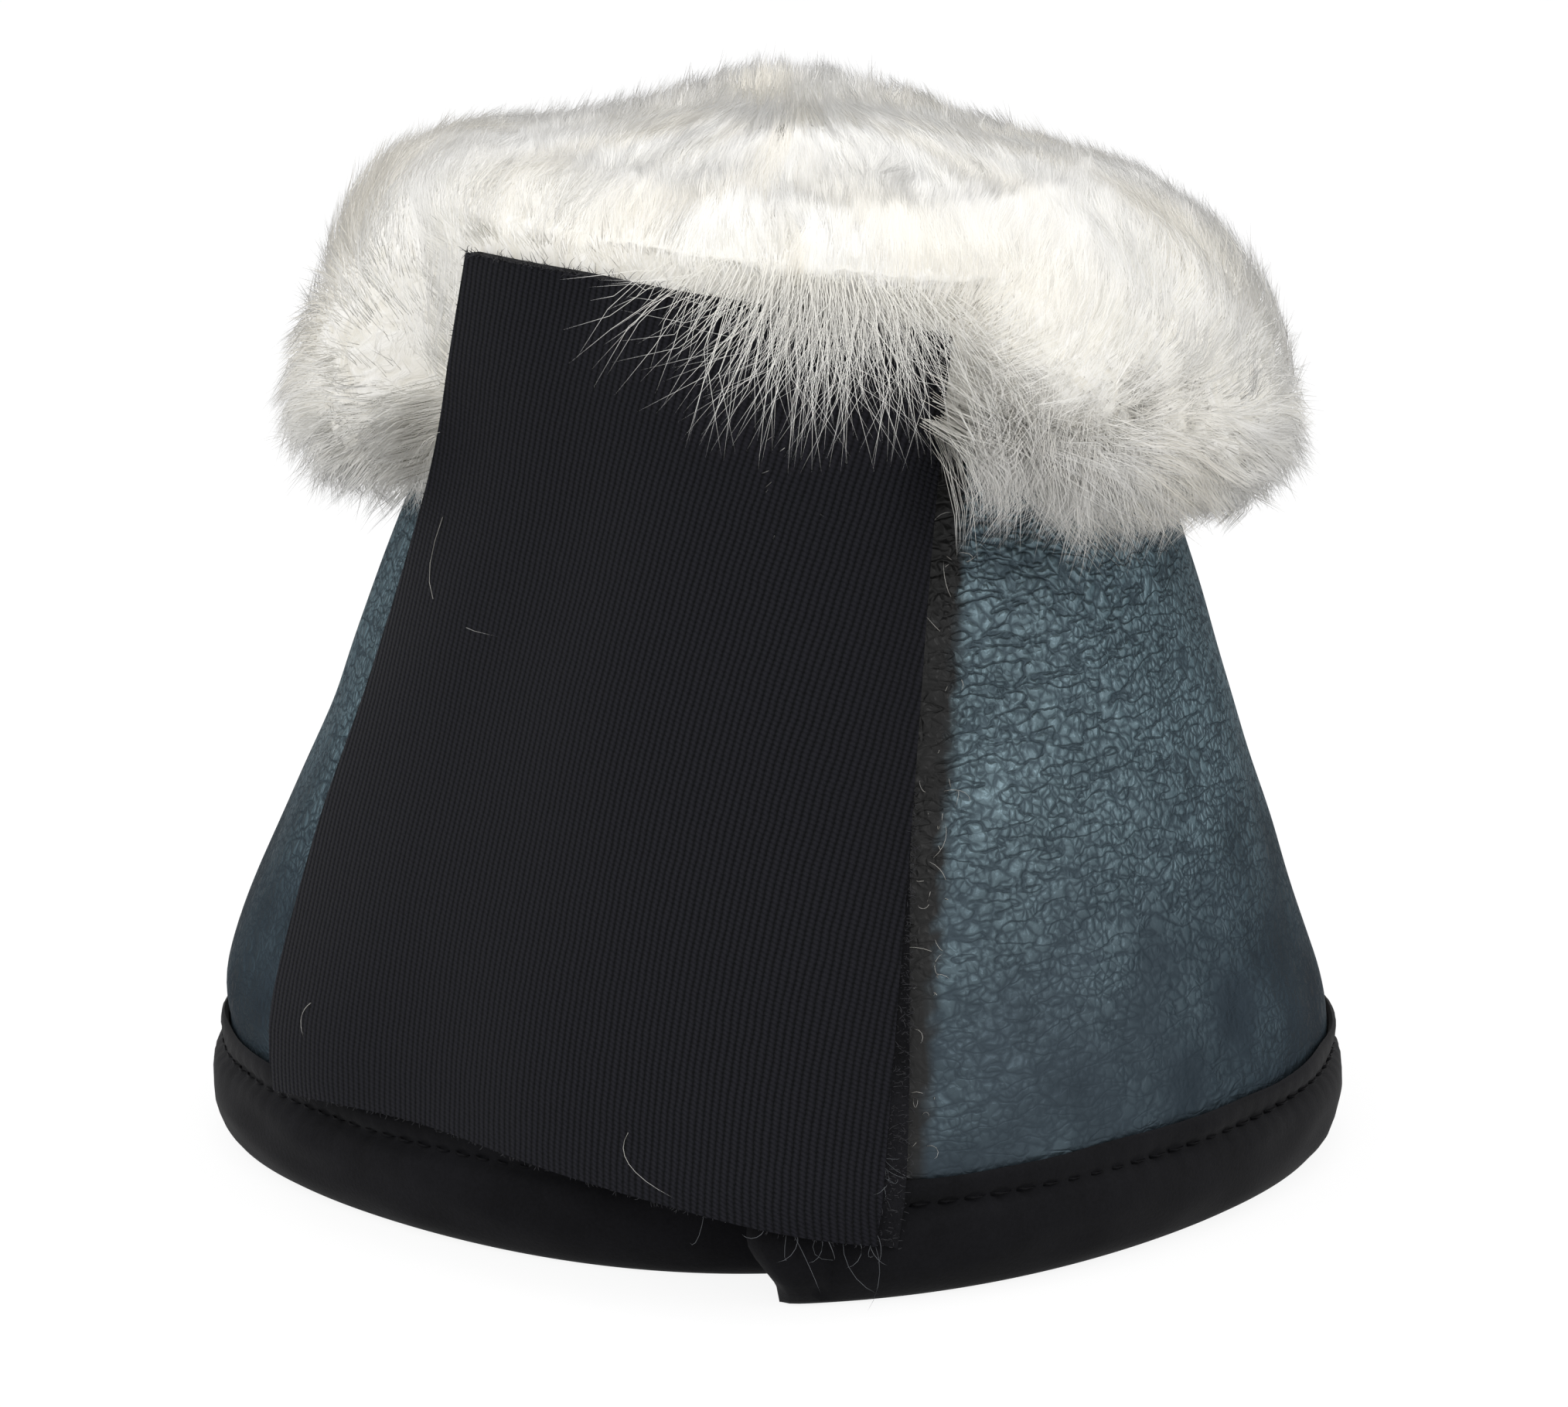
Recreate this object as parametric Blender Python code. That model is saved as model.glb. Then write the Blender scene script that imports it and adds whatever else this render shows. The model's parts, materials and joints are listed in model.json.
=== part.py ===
"""Bell boot for a horse: a padded cone in two halves, with a fur collar and one wide closing flap.

World frame in metres, +Z up. The boot stands on its hem, its closure faces -Y and +X is to the right.
A turn is measured from -Y towards +X, so the right half runs from the closure to +180 degrees and the
left half from the closure to -180 degrees. The right half winds outwards and laps over the left one.
"""
import bmesh
import bpy
import numpy as np
from math import pi, radians
from mathutils import Matrix, Vector

MM = 0.001

# Gaps between pieces
CLEAR = 0.3 * MM
SLIDE_GAP = 0.4 * MM
LAP_GAP = 0.9 * MM
BACK_GAP = 0.4 * MM
FOLD_GAP = 0.3 * MM
AXIS_CLEAR = 0.4 * MM

# Layers of the wall, from outside to inside
LEATHER_THICK = 1.2 * MM
FOAM_THICK = 4.4 * MM
LINING_THICK = 0.8 * MM
TAPE_THICK = 0.5 * MM
TAPE_LIP = 4.0 * MM
TAPE_END_GAP = 1.6 * MM

# Cone of the wall: radii are to its outer face
SHELL_TOP = 108 * MM
NECK_RADIUS = 43.4 * MM
SKIRT_RADIUS = 71.6 * MM
TUCK_TOP = 24 * MM
TUCK_END = 12 * MM
LEAN_SHIFT = 3.4 * MM
LEAN_PIVOT = 80 * MM
TOP_TILT = 3.0 * MM
FLAT_DEPTH = 3.5 * MM
BELLY_DEPTH = 2.25 * MM
BELLY_TOP = 62 * MM
BELLY_POWER = 0.545
HOLLOW_DEPTH = 0.75 * MM
HOLLOW_TOP = 40 * MM
WIND_POWER = 1.5
RIGHT_END = radians(2)
LEFT_END = radians(14)
TAB_MARGIN = 6 * MM
TAB_SHOULDER = radians(1)
STATION_TURN = radians(10)

# Hem binding: a padded U of neoprene round the lower edges of the wall's layers
HEM_TOP = 15.5 * MM
HEM_BULGE = 2.0 * MM
HEM_BACK = 2.0 * MM
HEM_LIP = 0.7 * MM
HEM_FLOOR = 3.0 * MM
THREAD_RADIUS = 0.3 * MM
GROOVE_Z = 12.3 * MM
GROOVE_HALF = 0.8 * MM

# Collar: a foam pad on the wall's top edge, and pile fur over both
PAD_HEIGHT = 8.4 * MM
PAD_SHOULDER = 3.6 * MM
PAD_CHAMFER = 1.7 * MM
FUR_CENTRE_Z = 107 * MM
FUR_UP = 25 * MM
FUR_DOWN = 21 * MM
FUR_OUT = 23.5 * MM
FUR_IN = 13.5 * MM
FUR_SQUARE = 2.5
FUR_LIP = 0.9 * MM
FUR_CROWN_HALF = 3.0 * MM
OVERHANG_SLOPE = 1.0
OVERHANG_GAP = 1.0 * MM
PRESS_MARGIN = radians(3)
PRESS_FADE = radians(8)
FUR_JOIN_LEFT = radians(1.4)
FUR_JOIN_RIGHT = radians(0.4)

# Closing flap: woven fabric outside, hook tape inside
FABRIC_THICK = 1.0 * MM
HOOK_THICK = 1.1 * MM
PATCH_THICK = 1.2 * MM
FLAP_RIGHT_TURNS = (radians(9.9), radians(15.3), radians(23.8))
FLAP_LEFT_TURNS = (radians(-59.1), radians(-64.4), radians(-51.9))
FLAP_FOOT_RIGHT = 8.6 * MM
FLAP_FOOT_MIDDLE = 16.4 * MM
FLAP_FOOT_LEFT = 15.2 * MM
FLAP_HEAD_RIGHT = 114.9 * MM
FLAP_HEAD_MIDDLE = 120.7 * MM
FLAP_HEAD_LEFT = 123.0 * MM
FOLD_TURN = radians(4)
BEND_TURN = radians(2.5)
FOOT_LIFT_TOP = 22 * MM
LIFT_START = 75 * MM
LIFT_REACH = 48 * MM
RIGHT_LIFT = 5 * MM
LEFT_LIFT = 12 * MM
HUG_START = radians(5)
HUG_END = radians(-45)

# Loop patch on the left half, under the flap
PATCH_RIGHT = radians(-12)
PATCH_LEFT = radians(-47)
PATCH_MARGIN = 9 * MM

# Hand-chosen shares
WALL_ROW_SHARES = (0.07, 0.16, 0.28, 0.42, 0.65)
FUR_RISE_SHARES = (0.07, 0.22, 0.42, 0.66, 0.88)
FUR_BROW_SHARE = 0.55
FUR_CREST_SHARE = 0.85
FUR_FALL_SHARES = (0.9, 0.64, 0.4, 0.16, 0.04)
HEM_SIDE_SHARES = (0.68, 0.45, 0.23, 0.08)
HEM_OUT_SHARES = (0.85, 1.0, 0.8, 0.1)
HEM_TOE_SHARE = 0.2
HEM_HEEL_SHARE = 0.15
HINGE_LOW_SHARE = 0.42

# Sizes that follow
WALL_THICK = LEATHER_THICK + CLEAR + FOAM_THICK + CLEAR + LINING_THICK
HEM_THICK = HEM_BULGE + WALL_THICK + HEM_BACK
HEM_SPREAD = (HEM_THICK + LAP_GAP) / 2
TOP_SPREAD = (WALL_THICK + CLEAR + TAPE_THICK + LAP_GAP) / 2 + CLEAR
FLAP_THICK = FABRIC_THICK + CLEAR + HOOK_THICK
RIGHT_STAND = CLEAR + TAPE_THICK + SLIDE_GAP + FLAP_THICK
LEFT_STAND = CLEAR + PATCH_THICK + SLIDE_GAP + FLAP_THICK
FOOT_LIFT = HEM_BULGE + SLIDE_GAP + FLAP_THICK - RIGHT_STAND
FLAP_FOOT = (FLAP_FOOT_RIGHT, FLAP_FOOT_MIDDLE, FLAP_FOOT_LEFT)
FLAP_HEAD = (FLAP_HEAD_RIGHT, FLAP_HEAD_MIDDLE, FLAP_HEAD_LEFT)
FUR_FOOT = FUR_CENTRE_Z - FUR_DOWN
FUR_HEAD = FUR_CENTRE_Z + FUR_UP
TAB_TOP = FUR_FOOT - TAB_MARGIN
PATCH_FOOT = HEM_TOP + PATCH_MARGIN
PATCH_HEAD = FUR_FOOT - PATCH_MARGIN
PAD_TOP = SHELL_TOP + CLEAR + PAD_HEIGHT
LIP_TURN = TAPE_LIP / SKIRT_RADIUS
LEFT_FUR_END = RIGHT_END - FUR_JOIN_LEFT
RIGHT_FUR_END = RIGHT_END + FUR_JOIN_RIGHT
BACK_TURN = pi - BACK_GAP / 2 / NECK_RADIUS
BEND_END = FOLD_TURN - BEND_TURN


# Shape of the wall

def smooth(x):
    """Rises from 0 to 1 with level ends."""
    x = np.clip(x, 0, 1)
    return x * x * (3 - 2 * x)


def through(x, values):
    """The parabola that takes three values at x = 0, a half and 1."""
    low, middle, high = values
    return low + x * (high - low) + x * (1 - x) * (4 * middle - 2 * low - 2 * high)


def wall_radius(z):
    """Straight cone, which turns down to an upright foot between TUCK_TOP and TUCK_END."""
    slope = (SKIRT_RADIUS - NECK_RADIUS) / (SHELL_TOP - TUCK_TOP)
    down = np.clip(TUCK_TOP - z, 0, TUCK_TOP - TUCK_END)
    turned = slope * (down - down ** 2 / (2 * (TUCK_TOP - TUCK_END)))
    return SKIRT_RADIUS - slope * np.maximum(z - TUCK_TOP, 0) + turned


def plan(phi, z):
    """How the wall leaves the round: flat beside the closure, fuller on the left, hollower on the right."""
    front = np.where(np.cos(phi) > 0, np.sin(2 * phi) ** 2, 0)
    flat = FLAT_DEPTH * front * (1 - np.clip(z / SHELL_TOP, 0, 1))
    rise = np.clip((z - HEM_TOP) / (BELLY_TOP - HEM_TOP), 0, 1)
    belly = BELLY_DEPTH * np.sin(pi * rise ** BELLY_POWER) ** 2
    hollow = HOLLOW_DEPTH * smooth((z - HEM_TOP) / (HOLLOW_TOP - HEM_TOP))
    return belly * np.maximum(-np.sin(phi), 0) - hollow * np.maximum(np.sin(phi), 0) - flat


def winding(phi, z, side):
    """How far a half stands out (right) or in (left) of the mean cone: most at the front, nothing behind."""
    spread = HEM_SPREAD + (TOP_SPREAD - HEM_SPREAD) * np.clip(z / SHELL_TOP, 0, 1)
    turned = pi - side * phi
    return side * spread * (turned / pi) ** WIND_POWER


def lean(z):
    """The cone leans a little to the right as it rises."""
    return LEAN_SHIFT * (z - LEAN_PIVOT) / SHELL_TOP


def tilted(phi, z):
    """The top edge is lower on the right, and the heights under it follow down to the hem."""
    share = np.clip((z - HEM_TOP) / (SHELL_TOP - HEM_TOP), 0, 1)
    return z - TOP_TILT * np.sin(phi) * share


def at(phi, radius, z):
    """Points from turn, radius and height."""
    phi, radius, z = np.broadcast_arrays(phi, radius, z)
    return np.stack((radius * np.sin(phi) + lean(z), -radius * np.cos(phi), z), -1)


def wall(phi, z, w, side):
    """Points w outside the wall's outer face, at height z before the tilt."""
    height = tilted(phi, z)
    return at(phi, wall_radius(height) + plan(phi, height) + winding(phi, height, side) + w, height)


def flap_radius(phi, z):
    """Outer face of the flap: it lies on the right half, the hem and the fur, then on the left half."""
    left = smooth((HUG_START - phi) / (HUG_START - HUG_END))
    right_wind = winding(np.maximum(phi, 0), z, 1)
    left_wind = winding(np.minimum(phi, 0), z, -1)
    wind = right_wind + (left_wind - right_wind) * left
    stand = RIGHT_STAND + (LEFT_STAND - RIGHT_STAND) * left
    foot = FOOT_LIFT * smooth((FOOT_LIFT_TOP - z) / (FOOT_LIFT_TOP - TUCK_END))
    rise = np.maximum(z - LIFT_START, 0) / LIFT_REACH
    head = (RIGHT_LIFT + (LEFT_LIFT - RIGHT_LIFT) * left) * rise ** 2
    return wall_radius(z) + plan(phi, z) + wind + stand + foot + head


# Mesh helpers

def material(name, colour, roughness, metallic=0.0):
    """A Principled material with one colour, given as linear RGB."""
    made = bpy.data.materials.new(name)
    made.use_nodes = True
    shader = made.node_tree.nodes["Principled BSDF"]
    shader.inputs["Base Color"].default_value = (*colour, 1.0)
    shader.inputs["Roughness"].default_value = roughness
    shader.inputs["Metallic"].default_value = metallic
    made.diffuse_color = (*colour, 1.0)
    return made


def add_part(name, points, faces, finish, body):
    """One closed, smooth-shaded object from world points, carried by a body's empty."""
    mesh = bpy.data.meshes.new(name)
    mesh.from_pydata([tuple(p) for p in points], [], faces)
    work = bmesh.new()
    work.from_mesh(mesh)
    bmesh.ops.recalc_face_normals(work, faces=work.faces)
    work.to_mesh(mesh)
    work.free()
    mesh.shade_smooth()
    mesh.set_sharp_from_angle(angle=radians(35))
    mesh.materials.append(finish)
    part = bpy.data.objects.new(name, mesh)
    bpy.context.scene.collection.objects.link(part)
    origin = body.matrix_world.copy()
    mesh.transform(origin.inverted())
    part.parent = body
    return part


def add_slab(name, outer, inner, finish, body):
    """The closed solid between two grids of points that have the same shape."""
    stations, rows = outer.shape[:2]
    points = np.concatenate((outer.reshape(-1, 3), inner.reshape(-1, 3)))
    half = stations * rows

    def key(layer, i, j):
        return layer * half + i * rows + j

    faces = []
    for i in range(stations - 1):
        for j in range(rows - 1):
            for layer in (0, 1):
                ahead = key(layer, i + 1, j)
                faces.append((key(layer, i, j), ahead, ahead + 1, key(layer, i, j + 1)))
        for j in (0, rows - 1):
            faces.append((key(0, i, j), key(0, i + 1, j), key(1, i + 1, j), key(1, i, j)))
    for j in range(rows - 1):
        for i in (0, stations - 1):
            faces.append((key(0, i, j), key(0, i, j + 1), key(1, i, j + 1), key(1, i, j)))
    return add_part(name, points, faces, finish, body)


def add_tube(name, rings, finish, body, ring_closes=False):
    """A tube lofted through rings of points, with flat ends or joined into a loop."""
    count, sides = rings.shape[:2]
    faces = []
    for i in range(count if ring_closes else count - 1):
        after = (i + 1) % count
        for j in range(sides):
            turn = (j + 1) % sides
            faces.append((i * sides + j, after * sides + j, after * sides + turn, i * sides + turn))
    if not ring_closes:
        faces.append(tuple(range(sides)))
        faces.append(tuple((count - 1) * sides + j for j in range(sides)))
    return add_part(name, rings.reshape(-1, 3), faces, finish, body)


def add_body(name, low, high):
    """An empty at low whose Z axis points to high, for everything that one body carries."""
    empty = bpy.data.objects.new(name, None)
    bpy.context.scene.collection.objects.link(empty)
    along = (Vector(high) - Vector(low)).normalized()
    turn = Vector((0, 0, 1)).rotation_difference(along)
    empty.matrix_world = Matrix.Translation(low) @ turn.to_matrix().to_4x4()
    empty.empty_display_size = HEM_TOP
    bpy.context.view_layer.update()
    return empty


# Wall, hem and collar

def stations(side, start, more=()):
    """Turns from a half's front edge to the back: the given ones, one beside the flap, and an even grid."""
    beside_flap = FLAP_RIGHT_TURNS[2] + PRESS_MARGIN if side > 0 else FLAP_LEFT_TURNS[1]
    own = [start, *more, beside_flap, side * BACK_TURN]
    steps = int(pi / STATION_TURN)
    for step in range(-steps, steps + 1):
        turn = step * STATION_TURN
        between = side * start < side * turn < BACK_TURN
        if between and min(abs(turn - other) for other in own) > LIP_TURN / 2:
            own.append(turn)
    return np.array(sorted(own, key=lambda turn: side * turn))


def half_turns(side):
    """Stations of a half's wall and hem."""
    if side > 0:
        return stations(1, RIGHT_END, [RIGHT_END + LIP_TURN])
    return stations(-1, LEFT_END, [LEFT_END - LIP_TURN, LEFT_FUR_END + TAB_SHOULDER, LEFT_FUR_END])


def wall_head(side, turns):
    """Height of the wall's top edge at each station: the left end is a low tab, under the right end."""
    if side > 0:
        return np.full(len(turns), SHELL_TOP)
    return np.where(turns > LEFT_FUR_END + TAB_SHOULDER / 2, TAB_TOP, SHELL_TOP)


def wall_rows(head):
    """Heights of the wall's rows at one station, close together where the foot curves."""
    knee = (HEM_TOP + TUCK_TOP) / 2
    above = [TUCK_TOP + share * (head - TUCK_TOP) for share in WALL_ROW_SHARES]
    return np.array([HEM_FLOOR + CLEAR, TUCK_END, HEM_TOP, knee, TUCK_TOP, *above, head])


def add_layer(name, side, outside, thick, finish, body):
    """One layer of a half's wall, whose outer face is outside metres inside the wall's face."""
    turns = half_turns(side)
    rows = np.array([wall_rows(head) for head in wall_head(side, turns)])
    phi = turns[:, None]
    outer = wall(phi, rows, -outside, side)
    inner = wall(phi, rows, -outside - thick, side)
    return add_slab(name, outer, inner, finish, body)


def hem_outline():
    """The U of the hem binding, outer face then slot, as (w, z) with equal counts."""
    back = -WALL_THICK
    lip = CLEAR + HEM_LIP
    depth = HEM_BULGE - CLEAR
    outer = [(lip, HEM_TOP), (lip, GROOVE_Z + GROOVE_HALF), (lip - THREAD_RADIUS, GROOVE_Z)]
    outer += [(CLEAR + out * depth, up * HEM_TOP) for out, up in zip(HEM_OUT_SHARES, HEM_SIDE_SHARES)]
    upper, lower = HEM_SIDE_SHARES[1] * HEM_TOP, HEM_SIDE_SHARES[2] * HEM_TOP
    outer += [(-HEM_TOE_SHARE * WALL_THICK, 0), (back, 0)]
    outer += [(back - HEM_BACK, lower), (back - HEM_BACK, upper), (back - lip, HEM_TOP)]
    slot = [(CLEAR, z) for z in np.linspace(HEM_TOP, HEM_FLOOR, 7)]
    slot += [(-HEM_TOE_SHARE * WALL_THICK, HEM_FLOOR), ((HEM_HEEL_SHARE - 1) * WALL_THICK, HEM_FLOOR)]
    slot += [(back - CLEAR, HEM_FLOOR), (back - CLEAR, upper), (back - CLEAR, HEM_TOP)]
    return np.array(outer), np.array(slot)


def add_hem(name, side, finish, body):
    """The padded binding along a half's lower edge."""
    phi = half_turns(side)[:, None]
    outer, slot = hem_outline()
    made = [wall(phi, path[None, :, 1], path[None, :, 0], side) for path in (outer, slot)]
    return add_slab(name, *made, finish, body)


def add_hem_thread(name, side, finish, body):
    """The stitching that lies in the hem's groove, as one thread."""
    phi = half_turns(side)[1:-1, None]
    out = CLEAR + HEM_LIP + CLEAR + THREAD_RADIUS
    ring = THREAD_RADIUS * np.array([(1, 0), (0, 1), (-1, 0), (0, -1)])
    points = wall(phi, GROOVE_Z + ring[None, :, 1], out - THREAD_RADIUS + ring[None, :, 0], side)
    return add_tube(name, points, finish, body)


def add_end_tape(name, side, finish, body):
    """Thin tape folded over a half's front edge, from above the hem up to the tab's top or the fur."""
    end = RIGHT_END if side > 0 else LEFT_END
    top = (FUR_FOOT if side > 0 else TAB_TOP) - TAPE_END_GAP
    rows = np.array([HEM_TOP + CLEAR, (HEM_TOP + TUCK_TOP) / 2, TUCK_TOP, (TUCK_TOP + top) / 2, top])
    height = tilted(end, rows)
    radius = wall_radius(height)
    lip = end + side * TAPE_LIP / radius
    gap = end - side * CLEAR / radius
    out = end - side * (CLEAR + TAPE_THICK) / radius
    face, back = CLEAR, -WALL_THICK - CLEAR
    over, under = face + TAPE_THICK, back - TAPE_THICK
    paths = [[(lip, over), (out, over), (out, under), (lip, under)]]
    paths += [[(lip, face), (gap, face), (gap, back), (lip, back)]]
    grids = [np.stack([wall(turn, rows, w, side) for turn, w in path], 1) for path in paths]
    return add_slab(name, *grids, finish, body)


def collar_turns(side):
    """Stations of a half's collar."""
    return stations(side, RIGHT_FUR_END if side > 0 else LEFT_FUR_END)


def add_collar_pad(name, side, finish, body):
    """The foam roll on the wall's top edge, under the fur."""
    phi = collar_turns(side)[:, None]
    inner, shoulder = -WALL_THICK, PAD_TOP - PAD_SHOULDER
    over = [(0, shoulder), (-PAD_CHAMFER, PAD_TOP), (inner + PAD_CHAMFER, PAD_TOP), (inner, shoulder)]
    under = [(w, SHELL_TOP + CLEAR) for w in np.linspace(0, inner, len(over))]
    paths = [np.array(path)[None] for path in (over, under)]
    made = [wall(phi, path[..., 1], path[..., 0], side) for path in paths]
    return add_slab(name, *made, finish, body)


def fur_half_width(z, width):
    """Half width of the fur's squarish oval at height z."""
    reach = np.where(z > FUR_CENTRE_Z, FUR_UP, FUR_DOWN)
    rise = np.minimum(np.abs(z - FUR_CENTRE_Z) / reach, 1)
    return width * (1 - rise ** FUR_SQUARE) ** (1 / FUR_SQUARE)


def fur_crest(phi):
    """The height up to which the flap presses the fur in: just over the flap's top edge."""
    across = np.clip((FLAP_RIGHT_TURNS[2] - phi) / (FLAP_RIGHT_TURNS[2] - FLAP_LEFT_TURNS[2]), 0, 1)
    return np.minimum(through(across, FLAP_HEAD) + OVERHANG_GAP, FUR_CENTRE_Z + FUR_CREST_SHARE * FUR_UP)


def pressed(phi, z, w, side):
    """Where the flap lies over the fur, w is held back to just under the flap."""
    height = tilted(phi, z)
    under = np.minimum(height, fur_crest(phi))
    wall_face = wall_radius(under) + plan(phi, under) + winding(phi, under, side)
    limit = flap_radius(phi, under) - FLAP_THICK - SLIDE_GAP - wall_face
    limit = limit + OVERHANG_SLOPE * (height - under)
    right = smooth((FLAP_RIGHT_TURNS[2] + PRESS_MARGIN + PRESS_FADE - phi) / PRESS_FADE)
    left = smooth((phi - FLAP_LEFT_TURNS[1] + PRESS_FADE) / PRESS_FADE)
    return w - np.maximum(w - limit, 0) * right * left


def add_fur(name, side, finish, body):
    """The pile fur: a thick squarish U over the collar pad and down both faces of the wall."""
    turns = collar_turns(side)
    centre = -WALL_THICK / 2
    span = FUR_HEAD - FUR_FOOT
    over, slot = [], []
    for phi in turns:
        crest = fur_crest(phi) + TOP_TILT * np.sin(phi)
        rise = [FUR_FOOT + share * (crest - FUR_FOOT) for share in FUR_RISE_SHARES]
        rise += [crest, crest + FUR_BROW_SHARE * (FUR_HEAD - crest)]
        outside = [(CLEAR + FUR_LIP, FUR_FOOT)]
        outside += [(max(centre + fur_half_width(z, FUR_OUT), CLEAR + FUR_LIP), z) for z in rise]
        outside += [(centre + FUR_CROWN_HALF, FUR_HEAD), (centre - FUR_CROWN_HALF, FUR_HEAD)]
        fall = [FUR_FOOT + share * span for share in FUR_FALL_SHARES]
        least = WALL_THICK + CLEAR + FUR_LIP
        outside += [(min(centre - fur_half_width(z, FUR_IN), -least), z) for z in fall]
        outside += [(-least, FUR_FOOT)]
        path = np.array(outside)
        over.append(wall(phi, path[:, 1], pressed(phi, path[:, 1], path[:, 0], side), side))
        shoulder = PAD_TOP - PAD_SHOULDER + CLEAR
        roof = PAD_TOP + CLEAR
        inside = [(CLEAR, z) for z in np.linspace(FUR_FOOT, shoulder, 7)]
        inside += [(w, roof) for w in np.linspace(CLEAR - PAD_CHAMFER, PAD_CHAMFER - CLEAR - WALL_THICK, 3)]
        inside += [(-WALL_THICK - CLEAR, z) for z in np.linspace(shoulder, FUR_FOOT, 6)]
        path = np.array(inside)
        slot.append(wall(phi, path[:, 1], path[:, 0], side))
    return add_slab(name, np.array(over), np.array(slot), finish, body)


# Loop patch and closing flap

def add_loop_patch(name, finish, body):
    """The fuzzy patch on the left half that the flap's hooks hold on to."""
    inner_turns = [turn for turn in half_turns(-1) if PATCH_LEFT < turn < PATCH_RIGHT]
    inner_rows = [row for row in wall_rows(SHELL_TOP) if PATCH_FOOT < row < PATCH_HEAD]
    phi = np.array([PATCH_RIGHT, *inner_turns, PATCH_LEFT])[:, None]
    rows = np.array([[PATCH_FOOT, *inner_rows, PATCH_HEAD]])
    outer = wall(phi, rows, CLEAR + PATCH_THICK, -1)
    return add_slab(name, outer, wall(phi, rows, CLEAR, -1), finish, body)


def add_patch_thread(name, finish, body):
    """The overlocked thread that runs round the loop patch, close to its edge."""
    reach = CLEAR + THREAD_RADIUS
    sides = [PATCH_RIGHT + reach / NECK_RADIUS, PATCH_LEFT - reach / NECK_RADIUS]
    ends = [PATCH_FOOT - reach, PATCH_HEAD + reach]
    steps = 8
    run = np.linspace(0, 1, steps, endpoint=False)
    turns = [sides[0] + run * (sides[1] - sides[0]), np.full(steps, sides[1])]
    turns += [sides[1] + run * (sides[0] - sides[1]), np.full(steps, sides[0])]
    rises = [np.full(steps, ends[0]), ends[0] + run * (ends[1] - ends[0])]
    rises += [np.full(steps, ends[1]), ends[1] + run * (ends[0] - ends[1])]
    phi, z = np.concatenate(turns), np.concatenate(rises)
    path = wall(phi, z, CLEAR + THREAD_RADIUS, -1)
    along = np.roll(path, -1, 0) - np.roll(path, 1, 0)
    along /= np.linalg.norm(along, axis=1, keepdims=True)
    out = wall(phi, z, CLEAR + 2 * THREAD_RADIUS, -1) - path
    out /= np.linalg.norm(out, axis=1, keepdims=True)
    across = np.cross(along, out)
    rings = [path + THREAD_RADIUS * part for part in (out, across, -out, -across)]
    return add_tube(name, np.stack(rings, 1), finish, body, ring_closes=True)


def flap_grid(rows, columns, right, left, inset):
    """Points of the flap between two turns, or between its own edges where a turn is None."""
    t = np.linspace(0, 1, rows)[None, :]
    edge_right = through(t, FLAP_RIGHT_TURNS)
    edge_left = through(t, FLAP_LEFT_TURNS)
    radius = SKIRT_RADIUS + (NECK_RADIUS - SKIRT_RADIUS) * t
    near = edge_right if right is None else right - FOLD_GAP / 2 / radius
    far = edge_left if left is None else left + FOLD_GAP / 2 / radius
    phi = near + (far - near) * np.linspace(0, 1, columns)[:, None]
    s = (edge_right - phi) / (edge_right - edge_left)
    z = through(s, FLAP_FOOT) + t * (through(s, FLAP_HEAD) - through(s, FLAP_FOOT))
    return at(phi, flap_radius(phi, z) - inset, z)


def add_flap_piece(name, columns, right, left, inset, thick, finish, body):
    """One layer of one stretch of the flap."""
    rows = 12
    outer = flap_grid(rows, columns, right, left, inset)
    return add_slab(name, outer, flap_grid(rows, columns, right, left, inset + thick), finish, body)


def fold_line(phi):
    """Foot and head of the straight line just outside the flap's outer face at one turn."""
    low, high = FLAP_FOOT_MIDDLE, FLAP_HEAD_MIDDLE
    share = np.linspace(0, 1, 40)
    radius = flap_radius(phi, low + share * (high - low))
    out = np.max(radius - radius[0] - share * (radius[-1] - radius[0])) + AXIS_CLEAR
    return [at(phi, flap_radius(phi, end) + out, end) for end in (low, high)]


def back_hinge_line():
    """Foot and head of the line down the back, just outside the hem and the fur."""
    low = HINGE_LOW_SHARE * HEM_TOP
    radii = [wall_radius(low) + HEM_BULGE + AXIS_CLEAR]
    radii += [wall_radius(FUR_CENTRE_Z) - WALL_THICK / 2 + FUR_OUT + AXIS_CLEAR]
    middle = lean((low + FUR_CENTRE_Z) / 2)
    return [Vector((middle, radius, z)) for radius, z in zip(radii, (low, FUR_CENTRE_Z))]


# The boot

def finishes():
    """Flat colours of the real materials, in linear RGB."""
    return {
        "leather": material("grained_leather", (0.098, 0.138, 0.162), 0.45),
        "foam": material("neoprene_foam", (0.02, 0.02, 0.022), 0.9),
        "lining": material("knitted_lining", (0.03, 0.03, 0.034), 0.85),
        "hem": material("neoprene_binding", (0.014, 0.014, 0.016), 0.8),
        "thread": material("sewing_thread", (0.006, 0.006, 0.007), 0.7),
        "tape": material("edge_tape", (0.016, 0.016, 0.018), 0.75),
        "fur": material("pile_fur", (0.80, 0.79, 0.76), 0.9),
        "pad": material("collar_foam", (0.55, 0.54, 0.50), 0.95),
        "weave": material("woven_fabric", (0.015, 0.016, 0.018), 0.8),
        "hook": material("hook_tape", (0.010, 0.010, 0.011), 0.7),
        "loop": material("loop_pile", (0.012, 0.012, 0.013), 0.95),
    }


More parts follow.
